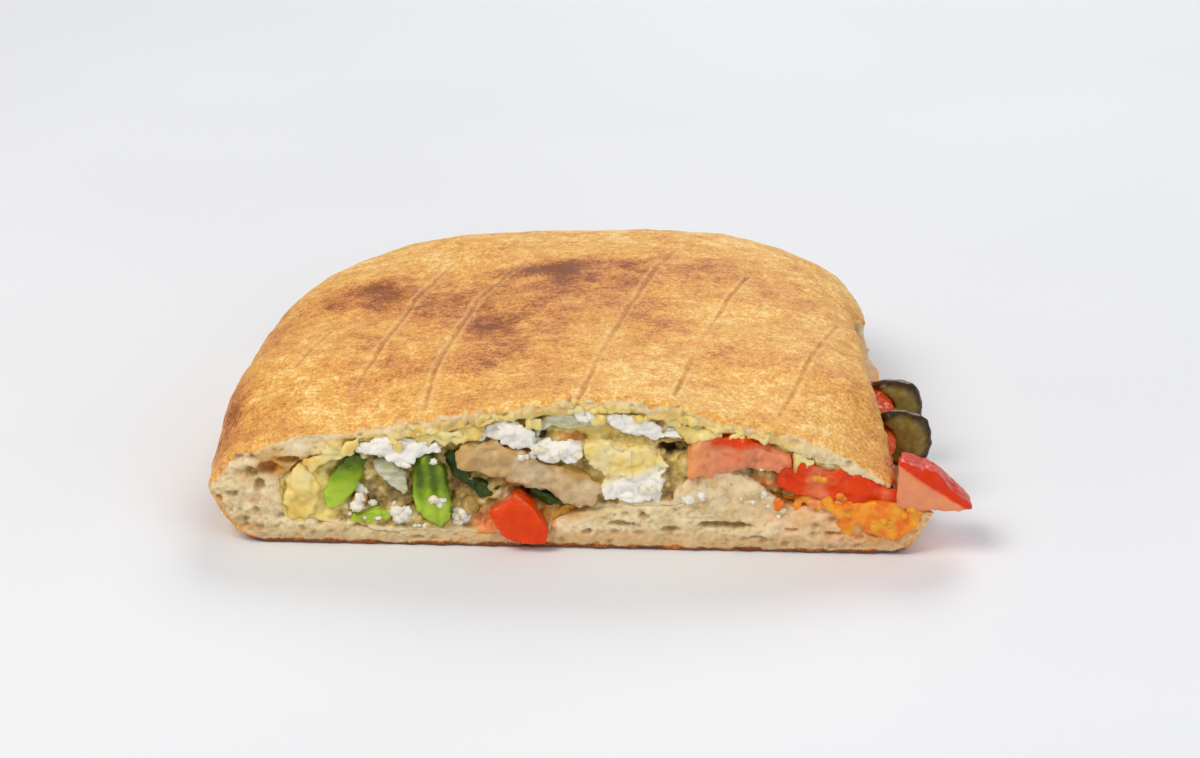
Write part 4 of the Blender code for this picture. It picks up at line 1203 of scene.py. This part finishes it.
class SandwichStage(bpy.types.PropertyGroup):
    """Floor, light and lens"""

    floor: paint("Floor", "#e8edf5", "Floor")
    floor_light: paint("Light floor", "#eff4fb", "Floor at its lightest")
    sky: paint("Studio", "#f3f5fa", "Light from all round")
    sky_strength: measure("Studio light", 0.33, "Strength of the light from all round", **FACTOR)
    key_power: measure("Key light", 8.6, "Power of the key light", unit="POWER")
    fill_power: measure("Fill light", 3.7, "Power of the fill light", unit="POWER")
    back_power: measure("Back light", 7.0, "Power of the light from behind", unit="POWER")
    lens: measure("Lens", 118.0, "Focal length in millimetres", unit="CAMERA")


class SANDWICH_OT_bread(bpy.types.Operator):
    """Build the toasted bread with its scored crust and cut crumb"""

    bl_idname = "sandwich.bread"
    bl_label = "Bread"

    def execute(self, context):
        build_bread(context.scene.sandwich_sizes, context.scene.sandwich_colours)
        return {"FINISHED"}


class SANDWICH_OT_cheese_layer(bpy.types.Operator):
    """Build the melted cheese under the top bread and the run at its left end"""

    bl_idname = "sandwich.cheese_layer"
    bl_label = "Melted cheese"

    def execute(self, context):
        build_cheese_layer(context.scene.sandwich_colours)
        return {"FINISHED"}


class SANDWICH_OT_filling(bpy.types.Operator):
    """Build the crushed filling between the larger pieces"""

    bl_idname = "sandwich.filling"
    bl_label = "Crushed filling"

    def execute(self, context):
        build_filling(context.scene.sandwich_colours)
        return {"FINISHED"}


class SANDWICH_OT_chicken(bpy.types.Operator):
    """Build the slice of chicken fillet"""

    bl_idname = "sandwich.chicken"
    bl_label = "Chicken"

    def execute(self, context):
        build_chicken(context.scene.sandwich_colours)
        return {"FINISHED"}


class SANDWICH_OT_peppers(bpy.types.Operator):
    """Build the pieces of green pepper"""

    bl_idname = "sandwich.peppers"
    bl_label = "Green pepper"

    def execute(self, context):
        build_peppers(context.scene.sandwich_colours)
        return {"FINISHED"}


class SANDWICH_OT_onion(bpy.types.Operator):
    """Build the pieces of onion"""

    bl_idname = "sandwich.onion"
    bl_label = "Onion"

    def execute(self, context):
        build_onion(context.scene.sandwich_colours)
        return {"FINISHED"}


class SANDWICH_OT_white_cheese(bpy.types.Operator):
    """Build the larger pieces of white cheese"""

    bl_idname = "sandwich.white_cheese"
    bl_label = "White cheese"

    def execute(self, context):
        build_white_cheese(context.scene.sandwich_colours)
        return {"FINISHED"}


class SANDWICH_OT_tomato(bpy.types.Operator):
    """Build the pieces of tomato"""

    bl_idname = "sandwich.tomato"
    bl_label = "Tomato"

    def execute(self, context):
        build_tomato(context.scene.sandwich_colours)
        return {"FINISHED"}


class SANDWICH_OT_pickles(bpy.types.Operator):
    """Build the pickle slices at the slit"""

    bl_idname = "sandwich.pickles"
    bl_label = "Pickle"

    def execute(self, context):
        build_pickles(context.scene.sandwich_colours)
        return {"FINISHED"}


class SANDWICH_OT_crumbs(bpy.types.Operator):
    """Lay cheese crumbs, tomato pulp and seeds on the cut"""

    bl_idname = "sandwich.crumbs"
    bl_label = "Crumbs and pulp"

    def execute(self, context):
        build_crumbs(context.scene.sandwich_colours)
        return {"FINISHED"}


class SANDWICH_OT_stage(bpy.types.Operator):
    """Set the floor, the light and the camera"""

    bl_idname = "sandwich.stage"
    bl_label = "Stage"

    def execute(self, context):
        build_stage(context.scene.sandwich_stage)
        return {"FINISHED"}


OPERATORS = [
    SANDWICH_OT_bread, SANDWICH_OT_cheese_layer, SANDWICH_OT_filling, SANDWICH_OT_chicken,
    SANDWICH_OT_peppers, SANDWICH_OT_onion, SANDWICH_OT_white_cheese, SANDWICH_OT_tomato,
    SANDWICH_OT_pickles, SANDWICH_OT_crumbs, SANDWICH_OT_stage,
]
GROUPS = {
    "sandwich_sizes": SandwichSizes,
    "sandwich_colours": SandwichColours,
    "sandwich_stage": SandwichStage,
}


class SANDWICH_PT_panel(bpy.types.Panel):
    """Lists the sandwich's operators, sizes and colours"""

    bl_idname = "SANDWICH_PT_panel"
    bl_label = "Sandwich"
    bl_space_type = "VIEW_3D"
    bl_region_type = "UI"
    bl_category = "Sandwich"

    def draw(self, context):
        for operator in OPERATORS:
            self.layout.operator(operator.bl_idname)
        for name, group in GROUPS.items():
            box = self.layout.box()
            for prop in group.__annotations__:
                box.prop(getattr(context.scene, name), prop)


def register():
    """Adds the classes, and the property groups to the scene."""
    for group in (*GROUPS.values(), *OPERATORS, SANDWICH_PT_panel):
        bpy.utils.register_class(group)
    for name, group in GROUPS.items():
        setattr(bpy.types.Scene, name, bpy.props.PointerProperty(type=group))


def unregister():
    """Takes away what register added."""
    for name in GROUPS:
        delattr(bpy.types.Scene, name)
    for group in reversed((*GROUPS.values(), *OPERATORS, SANDWICH_PT_panel)):
        bpy.utils.unregister_class(group)


def main():
    """Builds the sandwich and its stage."""
    register()
    for operator in OPERATORS:
        group, name = operator.bl_idname.split(".")
        getattr(getattr(bpy.ops, group), name)()


if __name__ == "__main__":
    main()
